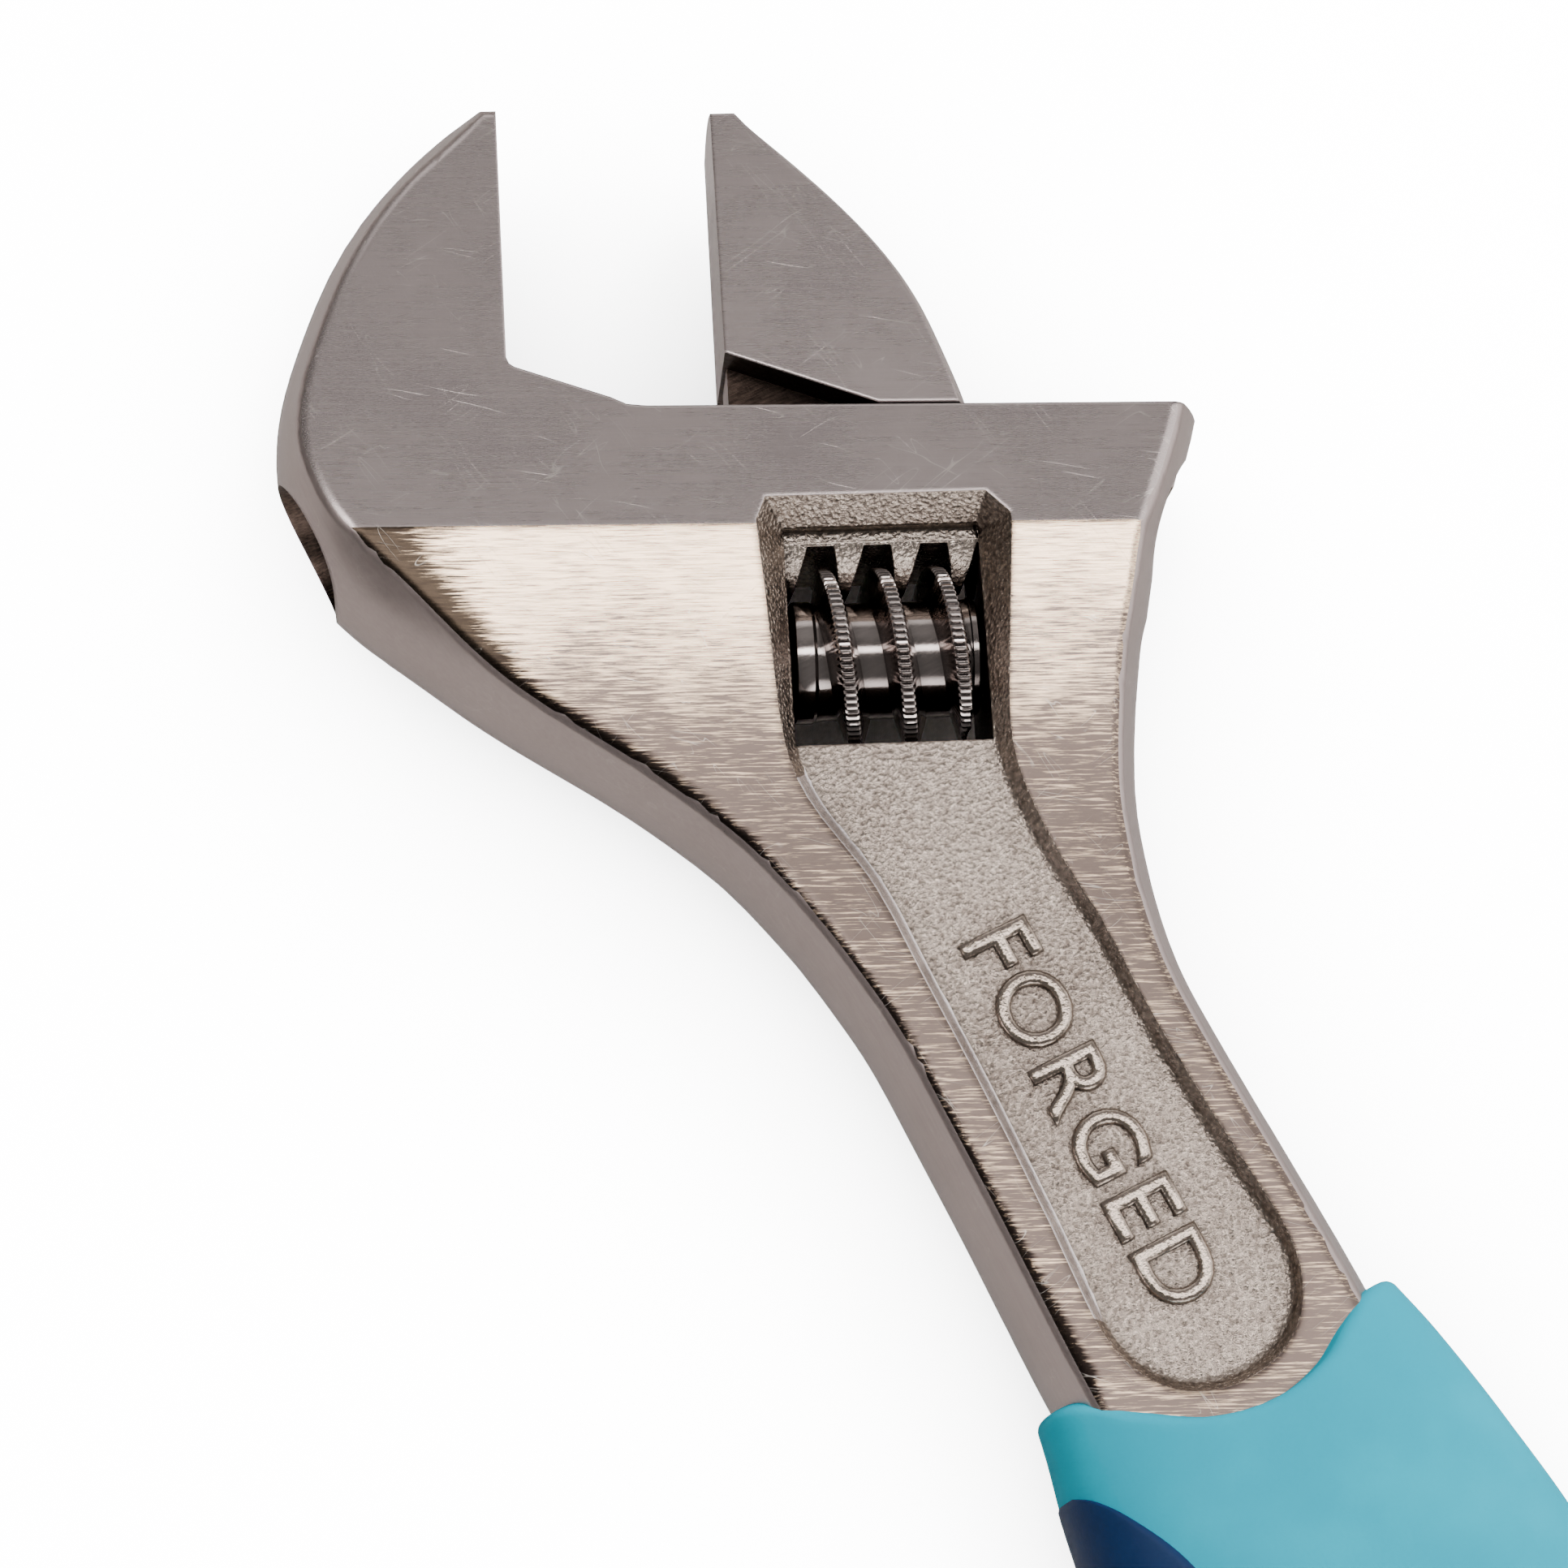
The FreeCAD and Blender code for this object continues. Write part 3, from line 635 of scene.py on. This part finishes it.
@dataclass
class Forging:
    """The forged pieces, which keep the frame's own meshes and get a finish for each kind of surface.

    Args:
        nodes: the frame's meshes by name.
        materials: finish of each region.
        slide_y: place of the slide bore's axis in the head's frame.
        slide_r: radius that counts as the bore's wall.
        worm_y: place of the pin's axis in the head's frame.
        pin_r: radius that counts as the pin hole's wall.
        rough_half: half height of the worm window's plain walls, which take the dark bored finish as painted
            shade.
        recess: plan of the window and the recess, laid out when this is made.
    """

    nodes: dict[str, bpy.types.Object]
    materials: dict[Region, bpy.types.Material]
    slide_y: float = -8.3
    slide_r: float = 5.45
    worm_y: float = -18.4
    pin_r: float = 2.8
    rough_half: float = 4.9
    recess: list[Point2] = field(init=False)

    def __post_init__(self) -> None:
        """Lay out the recess's plan, a little outside its upper edge."""
        head = [(-8.6, -6.4), (-8.0, -24.5), (-5.6, -33.6)]
        shank = [(-7.9, 169.0), (-7.7, 151.0), (-8.9, 138.0), (-6.2, 131.9), (0.4, 129.8), (6.8, 131.8),
                 (9.3, 138.0), (8.6, 151.0), (8.2, 168.0)]
        back = [(13.6, -32.4), (12.8, -24.5), (13.4, -6.9)]
        self.recess = [HEAD.to_part(*p) for p in head] + shank + [HEAD.to_part(*p) for p in back]

    def half_thickness(self, x: float, y: float) -> float:
        """Return the forging's half thickness at a part-frame point, in mm."""
        depth = HEAD.depth(x, y)
        if depth > CREASE_Y:
            return HEAD_HALF - TIP_THINNING * (depth - CREASE_Y) / TIP_RUN
        rise = max(depth - SWEEP_END_Y, 0.0) / (CREASE_Y - SWEEP_END_Y)
        return SHANK_HALF + (HEAD_HALF - SHANK_HALF) * rise**SWEEP_POWER

    def body_region(self, x: float, y: float, z: float, normal: Vector) -> Region:
        """Return the kind of surface of one face of the body, from its centre in mm and its normal."""
        a, b = HEAD.from_part(x, y)
        half = self.half_thickness(x, y)
        upright = abs(normal.z) < 0.2
        in_pin_hole = a > 9.9 and math.hypot(b - self.worm_y, z) < self.pin_r
        if math.hypot(b - self.slide_y, z) < self.slide_r or in_pin_hole:
            return Region.BORED
        if abs(z) < half - 0.12 and inside((x, y), self.recess):
            # Painted shade: the worm window's lower walls take the dark bored finish
            if abs(z) < self.rough_half and upright:
                return Region.BORED
            # Painted highlight: the pocket's left wall, which faces the light, takes a lighter finish
            on_lit_edge = normal.x > 0.25 and 140 < y < 186 and abs(z) > self.rough_half + 0.15
            return Region.RUBBED if on_lit_edge else Region.CAST
        if abs(normal.z) > 0.93 and abs(z) > half - 0.35:
            return Region.GROUND if HEAD.depth(x, y) > CREASE_Y else Region.BRUSHED
        faces_jaws = a > -26.2 and b > -4.5 and not (a > 20 and normal.x > 0.5)
        return Region.GROUND if faces_jaws and upright else Region.SIDE

    def jaw_region(self, x: float, y: float, z: float, normal: Vector) -> Region:
        """Return the kind of surface of one face of the movable jaw."""
        a, b = HEAD.from_part(x, y)
        lean = math.radians(HEAD.angle)
        up = normal.x * math.sin(lean) + normal.y * math.cos(lean)
        level, upright = abs(normal.z) > 0.9, abs(normal.z) < 0.2
        if b < -2.6:
            return Region.RACK
        # Painted shade: the faces under and inside the jaw take the dark bored finish
        if up < -0.3 or (abs(z) < 2.9 and level):
            return Region.BORED
        if (level and abs(z) > 3.5) or (upright and a < -8.6):
            return Region.GROUND
        return Region.SIDE

    def dress(self) -> list[bpy.types.Object]:
        """Give each face of both forged pieces its finish.

        Returns:
            The two dressed pieces.
        """
        for name, pick in (("wrench_body", self.body_region), ("movable_jaw", self.jaw_region)):
            mesh = self.nodes[name].data
            mesh.materials.clear()
            for region in Region:
                mesh.materials.append(self.materials[region])
            for polygon in mesh.polygons:
                c = polygon.center
                polygon.material_index = pick(c.x / MM, c.y / MM, c.z / MM, polygon.normal).value
        return [self.nodes["wrench_body"], self.nodes["movable_jaw"]]


@dataclass
class RaisedMark:
    """Generic raised lettering on the recess floor, on both faces.

    Args:
        words: the lettering.
        material: its finish.
        cap_height: height of a capital, in mm.
        start: part-frame point of the first letter's foot, in mm.
        floor: height of the recess floor, in mm.
    """

    words: str
    material: bpy.types.Material
    cap_height: float = 5.2
    start: Point2 = (-2.7, 169.2)
    floor: float = 5.0

    def build(self, side: int) -> bpy.types.Object:
        """Make the lettering on one face.

        Args:
            side: +1 for the front face, -1 for the back.

        Returns:
            The lettering, standing half a millimetre out of the floor.
        """
        name = f"raised_mark_{'front' if side > 0 else 'back'}"
        curve = bpy.data.curves.new(name, "FONT")
        curve.body = self.words
        curve.size = self.cap_height / 0.69 * MM
        curve.offset = -0.2 * MM
        curve.extrude = 0.14 * MM
        curve.bevel_depth = 0.42 * MM
        curve.bevel_resolution = 4
        curve.resolution_u = 5
        curve.space_character = 1.12
        text = bpy.data.objects.new(name, curve)
        bpy.context.scene.collection.objects.link(text)
        bpy.context.view_layer.update()
        mesh = bpy.data.meshes.new_from_object(text.evaluated_get(bpy.context.evaluated_depsgraph_get()))
        bpy.data.objects.remove(text)
        made = bpy.data.objects.new(name, mesh)
        bpy.context.scene.collection.objects.link(made)
        turn = Matrix.Rotation(-math.pi / 2, 4, "Z")
        place = Matrix.Translation((self.start[0] * MM, self.start[1] * MM, (self.floor + 0.02) * MM))
        mesh.transform(place @ turn)
        if side < 0:
            mesh.transform(Matrix.Rotation(math.pi, 4, "Y"))
        mesh.materials.clear()
        mesh.materials.append(self.material)
        mesh.shade_smooth()
        return made


# ---- The worm ----


@dataclass
class Worm:
    """The adjusting screw with its knurled thread, between two turned collars.

    Args:
        material: its plating.
        lead: advance of the thread in one turn.
        axis_y: place of its axis in the head's frame.
        left: its left end along the slide.
        right: its right end.
        crest_r: radius of the thread's crest.
        core_r: radius of the core between turns.
        crest_half: half the crest's width.
        flank: how far the thread widens for each millimetre below its crest.
        crest_at_top: where a crest stands on the rack's side.
        knurls: how many notches one turn holds.
        knurl_depth: how deep a notch is.
    """

    material: bpy.types.Material
    lead: float = 4.35
    axis_y: float = -18.4
    left: float = -4.95
    right: float = 9.65
    crest_r: float = 7.15
    core_r: float = 4.55
    crest_half: float = 0.5
    flank: float = 0.288
    crest_at_top: float = -2.31
    knurls: int = 80
    knurl_depth: float = 0.22

    def profile(self, offset: float, knurl: float) -> float:
        """Return the thread's radius at an axial offset from the crest's middle.

        Args:
            offset: axial distance from the crest's middle, in mm.
            knurl: 0 on a knurl's ridge to 1 in its notch.
        """
        past = abs(offset) - self.crest_half
        radius = self.crest_r if past <= 0 else max(self.crest_r - past / self.flank, self.core_r)
        top = self.crest_r - self.knurl_depth * knurl
        edge = 0.07 * smoothstep(self.crest_half - 0.14, self.crest_half, abs(offset))
        return min(radius, top) - edge

    def point(self, angle: float, x: float, radius: float) -> tuple[float, float, float]:
        """Return the part-frame point at an angle from the rack's side, an axial place and a radius."""
        px, py = HEAD.to_part(x, self.axis_y + radius * math.cos(angle))
        return px, py, radius * math.sin(angle)

    def thread(self) -> bpy.types.Object:
        """Make the helical thread and the core between its turns."""
        run_low, run_high = self.left + 2.1, self.right - 0.8
        half = self.lead / 2
        flank_run = (self.crest_r - self.core_r) * self.flank
        c, f = self.crest_half, self.crest_half + flank_run
        offsets = [-half, -(f + 0.12), -f, -(f + c) / 2, -c - 0.02, -c + 0.1, -0.22, 0.22, c - 0.1, c + 0.02,
                   (f + c) / 2, f, f + 0.12, half]
        per_knurl = 6
        step = 2 * math.pi / self.knurls / per_knurl
        first = (run_low - self.crest_at_top - half) / self.lead * 2 * math.pi
        last = (run_high - self.crest_at_top + half) / self.lead * 2 * math.pi
        count = int((last - first) / step) + 1
        points = []
        for i in range(count):
            angle = first + i * step
            phase = (i % per_knurl) / per_knurl
            knurl = 1.0 if phase == 0.0 else (0.55 if phase < 0.2 or phase > 0.8 else 0.0)
            centre = self.crest_at_top + self.lead * angle / (2 * math.pi)
            for offset in offsets:
                x = centre + offset
                fade = smoothstep(run_low - 0.05, run_low + 0.5, x)
                fade *= smoothstep(run_high + 0.05, run_high - 0.4, x)
                radius = self.core_r + (self.profile(offset, knurl) - self.core_r) * fade
                points.append(self.point(angle, min(max(x, run_low - 0.1), run_high + 0.1), radius))
        return make_mesh("worm_thread", points, grid_faces(count, len(offsets), False))

    def turned(self) -> bpy.types.Object:
        """Make the collars, the end faces and the bore as one turned shape."""
        inner, pocket, core, low, high = 1.68, 2.9, self.core_r, self.left, self.right
        outline = [
            (low + 6.0, inner), (low, inner), (low, core - 0.55), (low + 0.14, core - 0.28),
            (low + 0.42, core + 0.12), (low + 0.5, core + 0.16), (low + 1.75, core + 0.16),
            (low + 1.9, core + 0.05), (low + 2.12, core - 0.1), (low + 2.4, core - 0.2),
            (high - 1.1, core - 0.2), (high - 0.82, core - 0.06), (high - 0.7, core + 0.1),
            (high - 0.3, core + 0.1), (high - 0.06, core - 0.2), (high, core - 0.4),
            (high, pocket), (high - 5.6, pocket), (high - 5.6, inner),
        ]
        steps = 96
        points = []
        for x, radius in outline:
            points += [self.point(2 * math.pi * k / steps, x, radius) for k in range(steps)]
        return make_mesh("worm_collars", points, grid_faces(len(outline), steps, True))

    def build(self) -> bpy.types.Object:
        """Make the whole worm as one piece."""
        parts = [self.thread(), self.turned()]
        for part in parts:
            part.data.materials.append(self.material)
        with bpy.context.temp_override(active_object=parts[0], selected_editable_objects=parts):
            bpy.ops.object.join()
        worm = parts[0]
        worm.name = worm.data.name = "knurled_worm"
        sharpen(worm, 32.0)
        return worm


def sharpen(target: bpy.types.Object, degrees: float) -> None:
    """Keep edges steeper than an angle sharp, and shade the rest smoothly."""
    target.data.shade_smooth()
    target.data.set_sharp_from_angle(angle=math.radians(degrees))


# ---- The grip ----


@dataclass
class Grip:
    """The moulded sleeve and its two inlays.

    Args:
        sleeve_material: finish of the sleeve.
        pad_material: finish of the inlays.
        power: how square its section is, where 2 is an ellipse.
        hole_r: radius of the hanging hole.
        rim_round: radius of the upper rim.
        stations: rows of place along the handle, half width and half thickness.
        scoop: upper rim, as points of x and of place along the handle.
    """

    sleeve_material: bpy.types.Material
    pad_material: bpy.types.Material
    power: float = 2.7
    hole_r: float = 4.75
    rim_round: float = 0.75
    stations: tuple[tuple[float, float, float], ...] = (
        (-9.0, 4.0, 5.2), (-6.5, 7.9, 6.9), (-2.0, 10.8, 7.8), (6.0, 13.1, 8.3), (18.0, 15.1, 8.8),
        (36.0, 16.5, 9.4), (58.0, 16.1, 9.55), (78.0, 15.8, 9.4), (96.0, 16.9, 9.5), (110.0, 17.8, 9.3),
        (120.0, 16.8, 8.8), (128.0, 15.5, 8.2), (133.0, 14.3, 7.8), (137.0, 13.5, 7.5),
    )
    scoop: tuple[Point2, ...] = (
        (-15.0, 135.8), (-11.8, 135.2), (-8.6, 132.6), (-4.2, 130.0), (0.8, 128.9), (5.6, 129.6),
        (8.8, 131.3), (11.6, 132.6), (15.0, 132.9),
    )

    def __post_init__(self) -> None:
        """Prepare the smooth width, thickness and rim curves."""
        self.width = smooth_curve([(s[0], s[1]) for s in self.stations])
        self.depth = smooth_curve([(s[0], s[2]) for s in self.stations])
        self.rim = smooth_curve(self.scoop)

    def skin(self, angle: float, y: float, out: float = 0.0) -> tuple[float, float, float]:
        """Return the point of the skin at an angle round the handle.

        Args:
            angle: 0 at the right side, a quarter turn at the front face.
            y: place along the handle.
            out: how far outside the sleeve's skin.
        """
        c, s = math.cos(angle), math.sin(angle)
        x = (self.width(y) + out) * math.copysign(abs(c) ** (2 / self.power), c)
        z = (self.depth(y) + out) * math.copysign(abs(s) ** (2 / self.power), s)
        return x, y, z

    def rim_y(self, angle: float) -> float:
        """Return where the sleeve ends at an angle round the handle."""
        y = 132.0
        for _ in range(4):
            y = self.rim(self.skin(angle, y)[0])
        return y

    def sleeve(self) -> bpy.types.Object:
        """Make the sleeve, closed inside the steel, with a rounded rim and a lined hanging hole."""
        around, along, bends = 160, 150, 6
        turns = [2 * math.pi * k / around for k in range(around)]
        ends = [(a, self.rim_y(a)) for a in turns]
        bottom, r = self.stations[0][0], self.rim_round
        rows = []
        for i in range(along + 1):
            t = 1 - (1 - i / along) ** 1.15
            rows.append([self.skin(a, bottom + t * (e - r - bottom)) for a, e in ends])
        for k in range(1, bends + 1):
            bend = math.pi / 2 * k / bends
            rise, sink = r * math.sin(bend), r * (math.cos(bend) - 1)
            rows.append([self.skin(a, e - r + rise, sink) for a, e in ends])
        rows.append([self.skin(a, e, -3.2) for a, e in ends])
        rows.append([self.skin(a, e - 3.0, -4.2) for a, e in ends])
        points = [p for row in rows for p in row]
        faces: list[tuple[int, ...]] = list(grid_faces(len(rows), around, True))
        foot = len(points)
        points += [(0.0, bottom, 0.0), (0.0, 120.0, 0.0)]
        last = (len(rows) - 1) * around
        for k in range(around):
            faces.append((foot, (k + 1) % around, k))
            faces.append((last + k, last + (k + 1) % around, foot + 1))
        made = make_mesh("soft_sleeve", points, faces)
        self._drill(made)
        made.data.materials.clear()
        made.data.materials.append(self.sleeve_material)
        sharpen(made, 40.0)
        return made

    def _drill(self, target: bpy.types.Object) -> None:
        """Cut the hanging hole with softly flared ends."""
        half, hole = self.depth(0.0), self.hole_r
        outline = [(-half - 3, hole + 4.5), (-half - 0.4, hole + 1.6), (-half + 0.15, hole + 0.8),
                   (-half + 0.6, hole + 0.3), (-half + 1.2, hole + 0.05), (-half + 2.0, hole)]
        outline += [(-z, r) for z, r in reversed(outline)]
        steps = 72
        points = []
        for z, r in outline:
            points += [(r * math.cos(2 * math.pi * k / steps), r * math.sin(2 * math.pi * k / steps), z)
                       for k in range(steps)]
        faces = grid_faces(len(outline), steps, True)
        faces.append(tuple(reversed(range(steps))))
        faces.append(tuple(range(len(points) - steps, len(points))))
        cutter = make_mesh("hole_cutter", points, faces)
        cut = target.modifiers.new("hole", "BOOLEAN")
        cut.operation, cut.solver, cut.object = "DIFFERENCE", "EXACT", cutter
        bpy.context.view_layer.update()
        mesh = bpy.data.meshes.new_from_object(target.evaluated_get(bpy.context.evaluated_depsgraph_get()))
        target.modifiers.clear()
        target.data = mesh
        bpy.data.objects.remove(cutter)

    def pad(self, name: str, side: int, edge: Sequence[Point2]) -> bpy.types.Object:
        """Make one inlay, standing a hair out of the sleeve with a rounded edge.

        Args:
            name: the piece's name.
            side: -1 for the left inlay, +1 for the right one.
            edge: points of (y, distance from the middle plane) along its front edge, rising.
        """
        reach = smooth_curve(edge)
        low, high = edge[0][0], edge[-1][0]
        rows, across, along = [], 40, 120
        for i in range(along + 1):
            t = 0.5 - 0.5 * math.cos(math.pi * i / along)
            y = low + t * (high - low)
            share = min(max(reach(y), 0.0) / self.width(y), 0.9999)
            limit = math.acos(share ** (self.power / 2)) * (1 - 1e-6)
            if t in (0.0, 1.0):
                limit *= 0.02
            row = []
            for j in range(across + 1):
                s = -1 + 2 * j / across
                angle = limit * math.copysign(abs(s) ** 0.85, s)
                angle = angle if side > 0 else math.pi - angle
                rim_gap = min(1 - abs(s), 1.4 * min(t, 1 - t) * 6)
                rise = -0.45 + 0.57 * smoothstep(0.0, 0.05, rim_gap)
                row.append(self.skin(angle, y, rise))
            rows.append(row)
        points = [p for row in rows for p in row]
        made = make_mesh(name, points, grid_faces(len(rows), across + 1, False))
        made.data.materials.append(self.pad_material)
        return made

    def build(self) -> dict[str, bpy.types.Object]:
        """Make the sleeve and both inlays."""
        left = ((7.4, 15.0), (12.0, 9.6), (40.0, 9.6), (80.0, 9.2), (104.0, 8.4), (116.0, 8.6), (122.0, 9.9),
                (126.0, 11.8), (128.6, 13.6), (130.0, 15.4))
        right = ((7.4, 15.0), (12.0, 9.6), (40.0, 9.6), (70.0, 9.4), (84.0, 10.2), (92.0, 11.8),
                 (100.0, 14.6), (104.0, 17.2))
        return {
            "grip_sleeve": self.sleeve(),
            "left_grip_pad": self.pad("left_inlay", -1, left),
            "right_grip_pad": self.pad("right_inlay", 1, right),
        }


# ---- Studio ----


@dataclass(frozen=True)
class Softbox:
    """A soft panel on the tent's ceiling, in slopes away from straight up.

    Args:
        across: lowest and highest slope along the head.
        up: lowest and highest slope towards the jaw tips.
        soft: width of its faded edge, as a slope.
        strength: radiance.
    """

    across: Point2
    up: Point2
    soft: float
    strength: float


@dataclass(frozen=True)
class Glow:
    """A round glow on the tent's wall.

    Args:
        towards: direction in the head's frame.
        inner: angle of its full part, in degrees.
        outer: angle where it has faded, in degrees.
        strength: radiance.
    """

    towards: tuple[float, float, float]
    inner: float
    outer: float
    strength: float


@dataclass
class Studio:
    """Floor, light tent, key light and camera.

    Args:
        floor_z: height of the floor, in metres.
        base: radiance of the tent between its softboxes.
        glow: radiance of the light table where nothing shades it.
        softboxes: panels of the tent's ceiling.
        glows: lit patches of its wall.
    """

    floor_z: float
    base: float = 0.24
    # glow: radiance of the light table away from its painted shadow and painted dark patch.
    glow: float = 14.0
    softboxes: tuple[Softbox, ...] = (
        Softbox((-0.9, 0.9), (-0.02, 0.17), 0.03, 8.5),
        Softbox((-0.9, 1.6), (0.45, 1.3), 0.25, 0.22),
        Softbox((-1.2, 1.2), (1.5, 3.8), 0.3, 1.4),
    )
    glows: tuple[Glow, ...] = (
        Glow((0.3, -1.0, 0.25), 12.0, 27.0, 3.4),
        Glow((1.0, 0.15, 0.25), 18.0, 45.0, 1.7),
    )

    def plane(self, name: str, size: float, z: float) -> bpy.types.Object:
        """Make a level square for the stage, half as wide as size in metres."""
        h = size / MM
        made = make_mesh(name, [(-h, -h, 0), (h, -h, 0), (h, h, 0), (-h, h, 0)], [(0, 1, 2, 3)])
        made.location.z = z
        made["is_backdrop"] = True
        return made

    def floor(self) -> None:
        """Make the pale floor: a glowing sheet for the eye, with a painted shadow and a painted dark patch
        under the worm window, and a plain table for light and reflections.
        """
        sheet = self.plane("light_table", 8.0, self.floor_z)
        sheet.visible_diffuse = False
        sheet.visible_glossy = False
        g = Graph("light_table")
        middle = HEAD.to_part(2.6, -14.0)
        # Painted shadow: the glow drops where a tilted ambient occlusion test finds the wrench nearby,
        # towards the lower left
        open_sky = g.add("AmbientOcclusion", {"Distance": 0.045, "Normal": (0.62, 0.50, 0.60)}, samples=12)
        shade = g.span(open_sky.outputs["AO"], (0.1, 0.95), (0.0, self.glow))
        # Painted dark patch: no glow under the worm window's middle, so the gap seen through it stays dark
        at = g.add("NewGeometry").outputs["Position"]
        under = (middle[0] * MM, middle[1] * MM, self.floor_z)
        gap = g.add("VectorMath", {0: at, 1: under}, operation="DISTANCE")
        outside_painted_patch = g.span(gap.outputs["Value"], (0.011, 0.017), smooth=True)
        glow = g.times(outside_painted_patch, shade)
        sheet.data.materials.append(g.finish(g.add("BsdfPrincipled", {
            "Base Color": linear("f4f4f5"), "Roughness": 0.7, "Emission Color": linear("ffffff"),
            "Emission Strength": glow})))
        table = self.plane("table", 3.0, self.floor_z - 0.0001)
        table.visible_camera = False
        g = Graph("table")
        table.data.materials.append(g.finish(g.add("BsdfDiffuse", {"Color": linear("dcdad8")})))

    def tent(self) -> None:
        """Make the light tent: a dome whose softboxes only lights and reflections see."""
        bpy.ops.mesh.primitive_uv_sphere_add(segments=48, ring_count=24, radius=1.6)
        dome = bpy.context.object
        dome.name = dome.data.name = "tent"
        dome.matrix_world = HEAD.matrix()
        dome.visible_camera = False
        g = Graph("tent")
        at = g.add("VectorMath", {0: g.add("TexCoord").outputs["Object"]}, operation="NORMALIZE").outputs[0]
        split = g.add("SeparateXYZ", {0: at})
        x, y, z = split.outputs
        above = g.math("MAXIMUM", z, 0.02)
        across, up = g.math("DIVIDE", x, above), g.math("DIVIDE", y, above)
        total = self.base
        for box in self.softboxes:
            mask = g.times(self._between(g, across, box.across, box.soft),
                          self._between(g, up, box.up, box.soft))
            total = g.plus(total, g.times(mask, box.strength))
        for glow in self.glows:
            way = Vector(glow.towards).normalized()
            dot = g.add("VectorMath", {0: at, 1: tuple(way)}, operation="DOT_PRODUCT").outputs["Value"]
            limits = (math.cos(math.radians(glow.outer)), math.cos(math.radians(glow.inner)))
            mask = g.span(dot, limits, smooth=True)
            total = g.plus(total, g.times(mask, glow.strength))
        shader = g.add("Emission", {"Color": linear("fffaf7"), "Strength": total})
        dome.data.materials.append(g.finish(shader))
        dome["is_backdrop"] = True

    @staticmethod
    def _between(g: Graph, value: Socket, limits: Point2, soft: float) -> Socket:
        """Return 1 between two limits, fading to 0 outside."""
        middle, half = (limits[0] + limits[1]) / 2, (limits[1] - limits[0]) / 2
        away = g.math("ABSOLUTE", g.minus(value, middle))
        return g.span(away, (half - soft, half + soft), (1.0, 0.0), smooth=True)

    def key_light(self) -> None:
        """Hang the soft key light, which reflections don't see."""
        place, target, side = Vector((0.62, 0.62, 0.75)), Vector((0.02, 0.15, 0.0)), 0.35
        data = bpy.data.lights.new("key_softbox", "AREA")
        data.shape, data.size, data.size_y = "RECTANGLE", side, side
        data.energy = 14.0
        made = bpy.data.objects.new("key_softbox", data)
        made.location = place
        made.rotation_euler = (target - place).to_track_quat("-Z", "Y").to_euler()
        made.visible_glossy = False
        bpy.context.scene.collection.objects.link(made)

    def world(self) -> None:
        """Make everything beyond the floor white to the eye."""
        world = bpy.data.worlds.new("studio")
        bpy.context.scene.world = world
        world.use_nodes = True
        back = world.node_tree.nodes["Background"]
        back.inputs["Color"].default_value = linear("ffffff")
        back.inputs["Strength"].default_value = 15.0
        world.cycles_visibility.diffuse = False
        world.cycles_visibility.glossy = False

    def camera(self) -> None:
        """Place the camera above the head, looking down along the tool."""
        turn = Matrix.Rotation(-math.radians(26.3), 3, "Z")
        place = Vector((*HEAD.origin, 0.0)) * MM + turn @ Vector((-0.0277, -0.1152, 0.2952))
        bearing, rise, roll = math.radians(14.68), math.radians(-73.045), math.radians(13.667)
        reach = math.cos(rise)
        ahead = Vector((math.sin(bearing) * reach, math.cos(bearing) * reach, math.sin(rise)))
        level = ahead.cross(Vector((0.0, 0.0, 1.0))).normalized()
        right = level * math.cos(roll) + level.cross(ahead) * math.sin(roll)
        axes = Matrix((right, right.cross(ahead), -ahead)).transposed()
        data = bpy.data.cameras.new("camera")
        data.sensor_width, data.lens = 36.0, 93.17
        data.clip_start, data.clip_end = 0.01, 30.0
        made = bpy.data.objects.new("camera", data)
        made.matrix_world = Matrix.Translation(place) @ (turn @ axes).to_4x4()
        bpy.context.scene.collection.objects.link(made)
        bpy.context.scene.camera = made

    def build(self) -> None:
        """Set up the whole studio."""
        self.floor()
        self.tent()
        self.world()
        self.camera()
        self.key_light()


# ---- Assembly ----


@dataclass
class Wrench:
    """The whole tool.

    Args:
        nodes: the frame's meshes by name.
    """

    nodes: dict[str, bpy.types.Object]

    def build(self) -> list[bpy.types.Object]:
        """Dress the frame's pieces, build the new ones and tie each new piece to its body.

        Returns:
            The shown pieces.
        """
        metals = {region: finish.build() for region, finish in FINISH_OF.items()}
        turned = TURNED.build()
        forged = Forging(self.nodes, metals).dress()
        for name in ("worm_pin", "worm_spring"):
            self.nodes[name].data.materials.clear()
            self.nodes[name].data.materials.append(turned)
            forged.append(self.nodes[name])

        worm = Worm(CHROMED.build()).build()
        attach(worm, "worm")
        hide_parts("adjusting_worm")

        mark = RaisedMark("FORGED", LETTERED.build())
        marks = [mark.build(side) for side in (1, -1)]
        for piece in marks:
            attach(piece, "frame")

        grip = Grip(TURQUOISE.build(), NAVY.build()).build()
        for node, piece in grip.items():
            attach(piece, "frame")
            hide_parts(node)
        return forged + [worm] + marks + list(grip.values())


def main() -> None:
    """Build the wrench and its studio, and report each piece."""
    logging.basicConfig(level=logging.INFO, format="%(name)s: %(message)s")
    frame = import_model()
    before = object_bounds()
    pieces = Wrench(frame["nodes"]).build()
    for piece in pieces:
        LOG.info("%s: %d faces", piece.name, len(piece.data.polygons))
    Studio(floor_z=before[0].z - 0.0002).build()


if __name__ == "__main__":
    main()
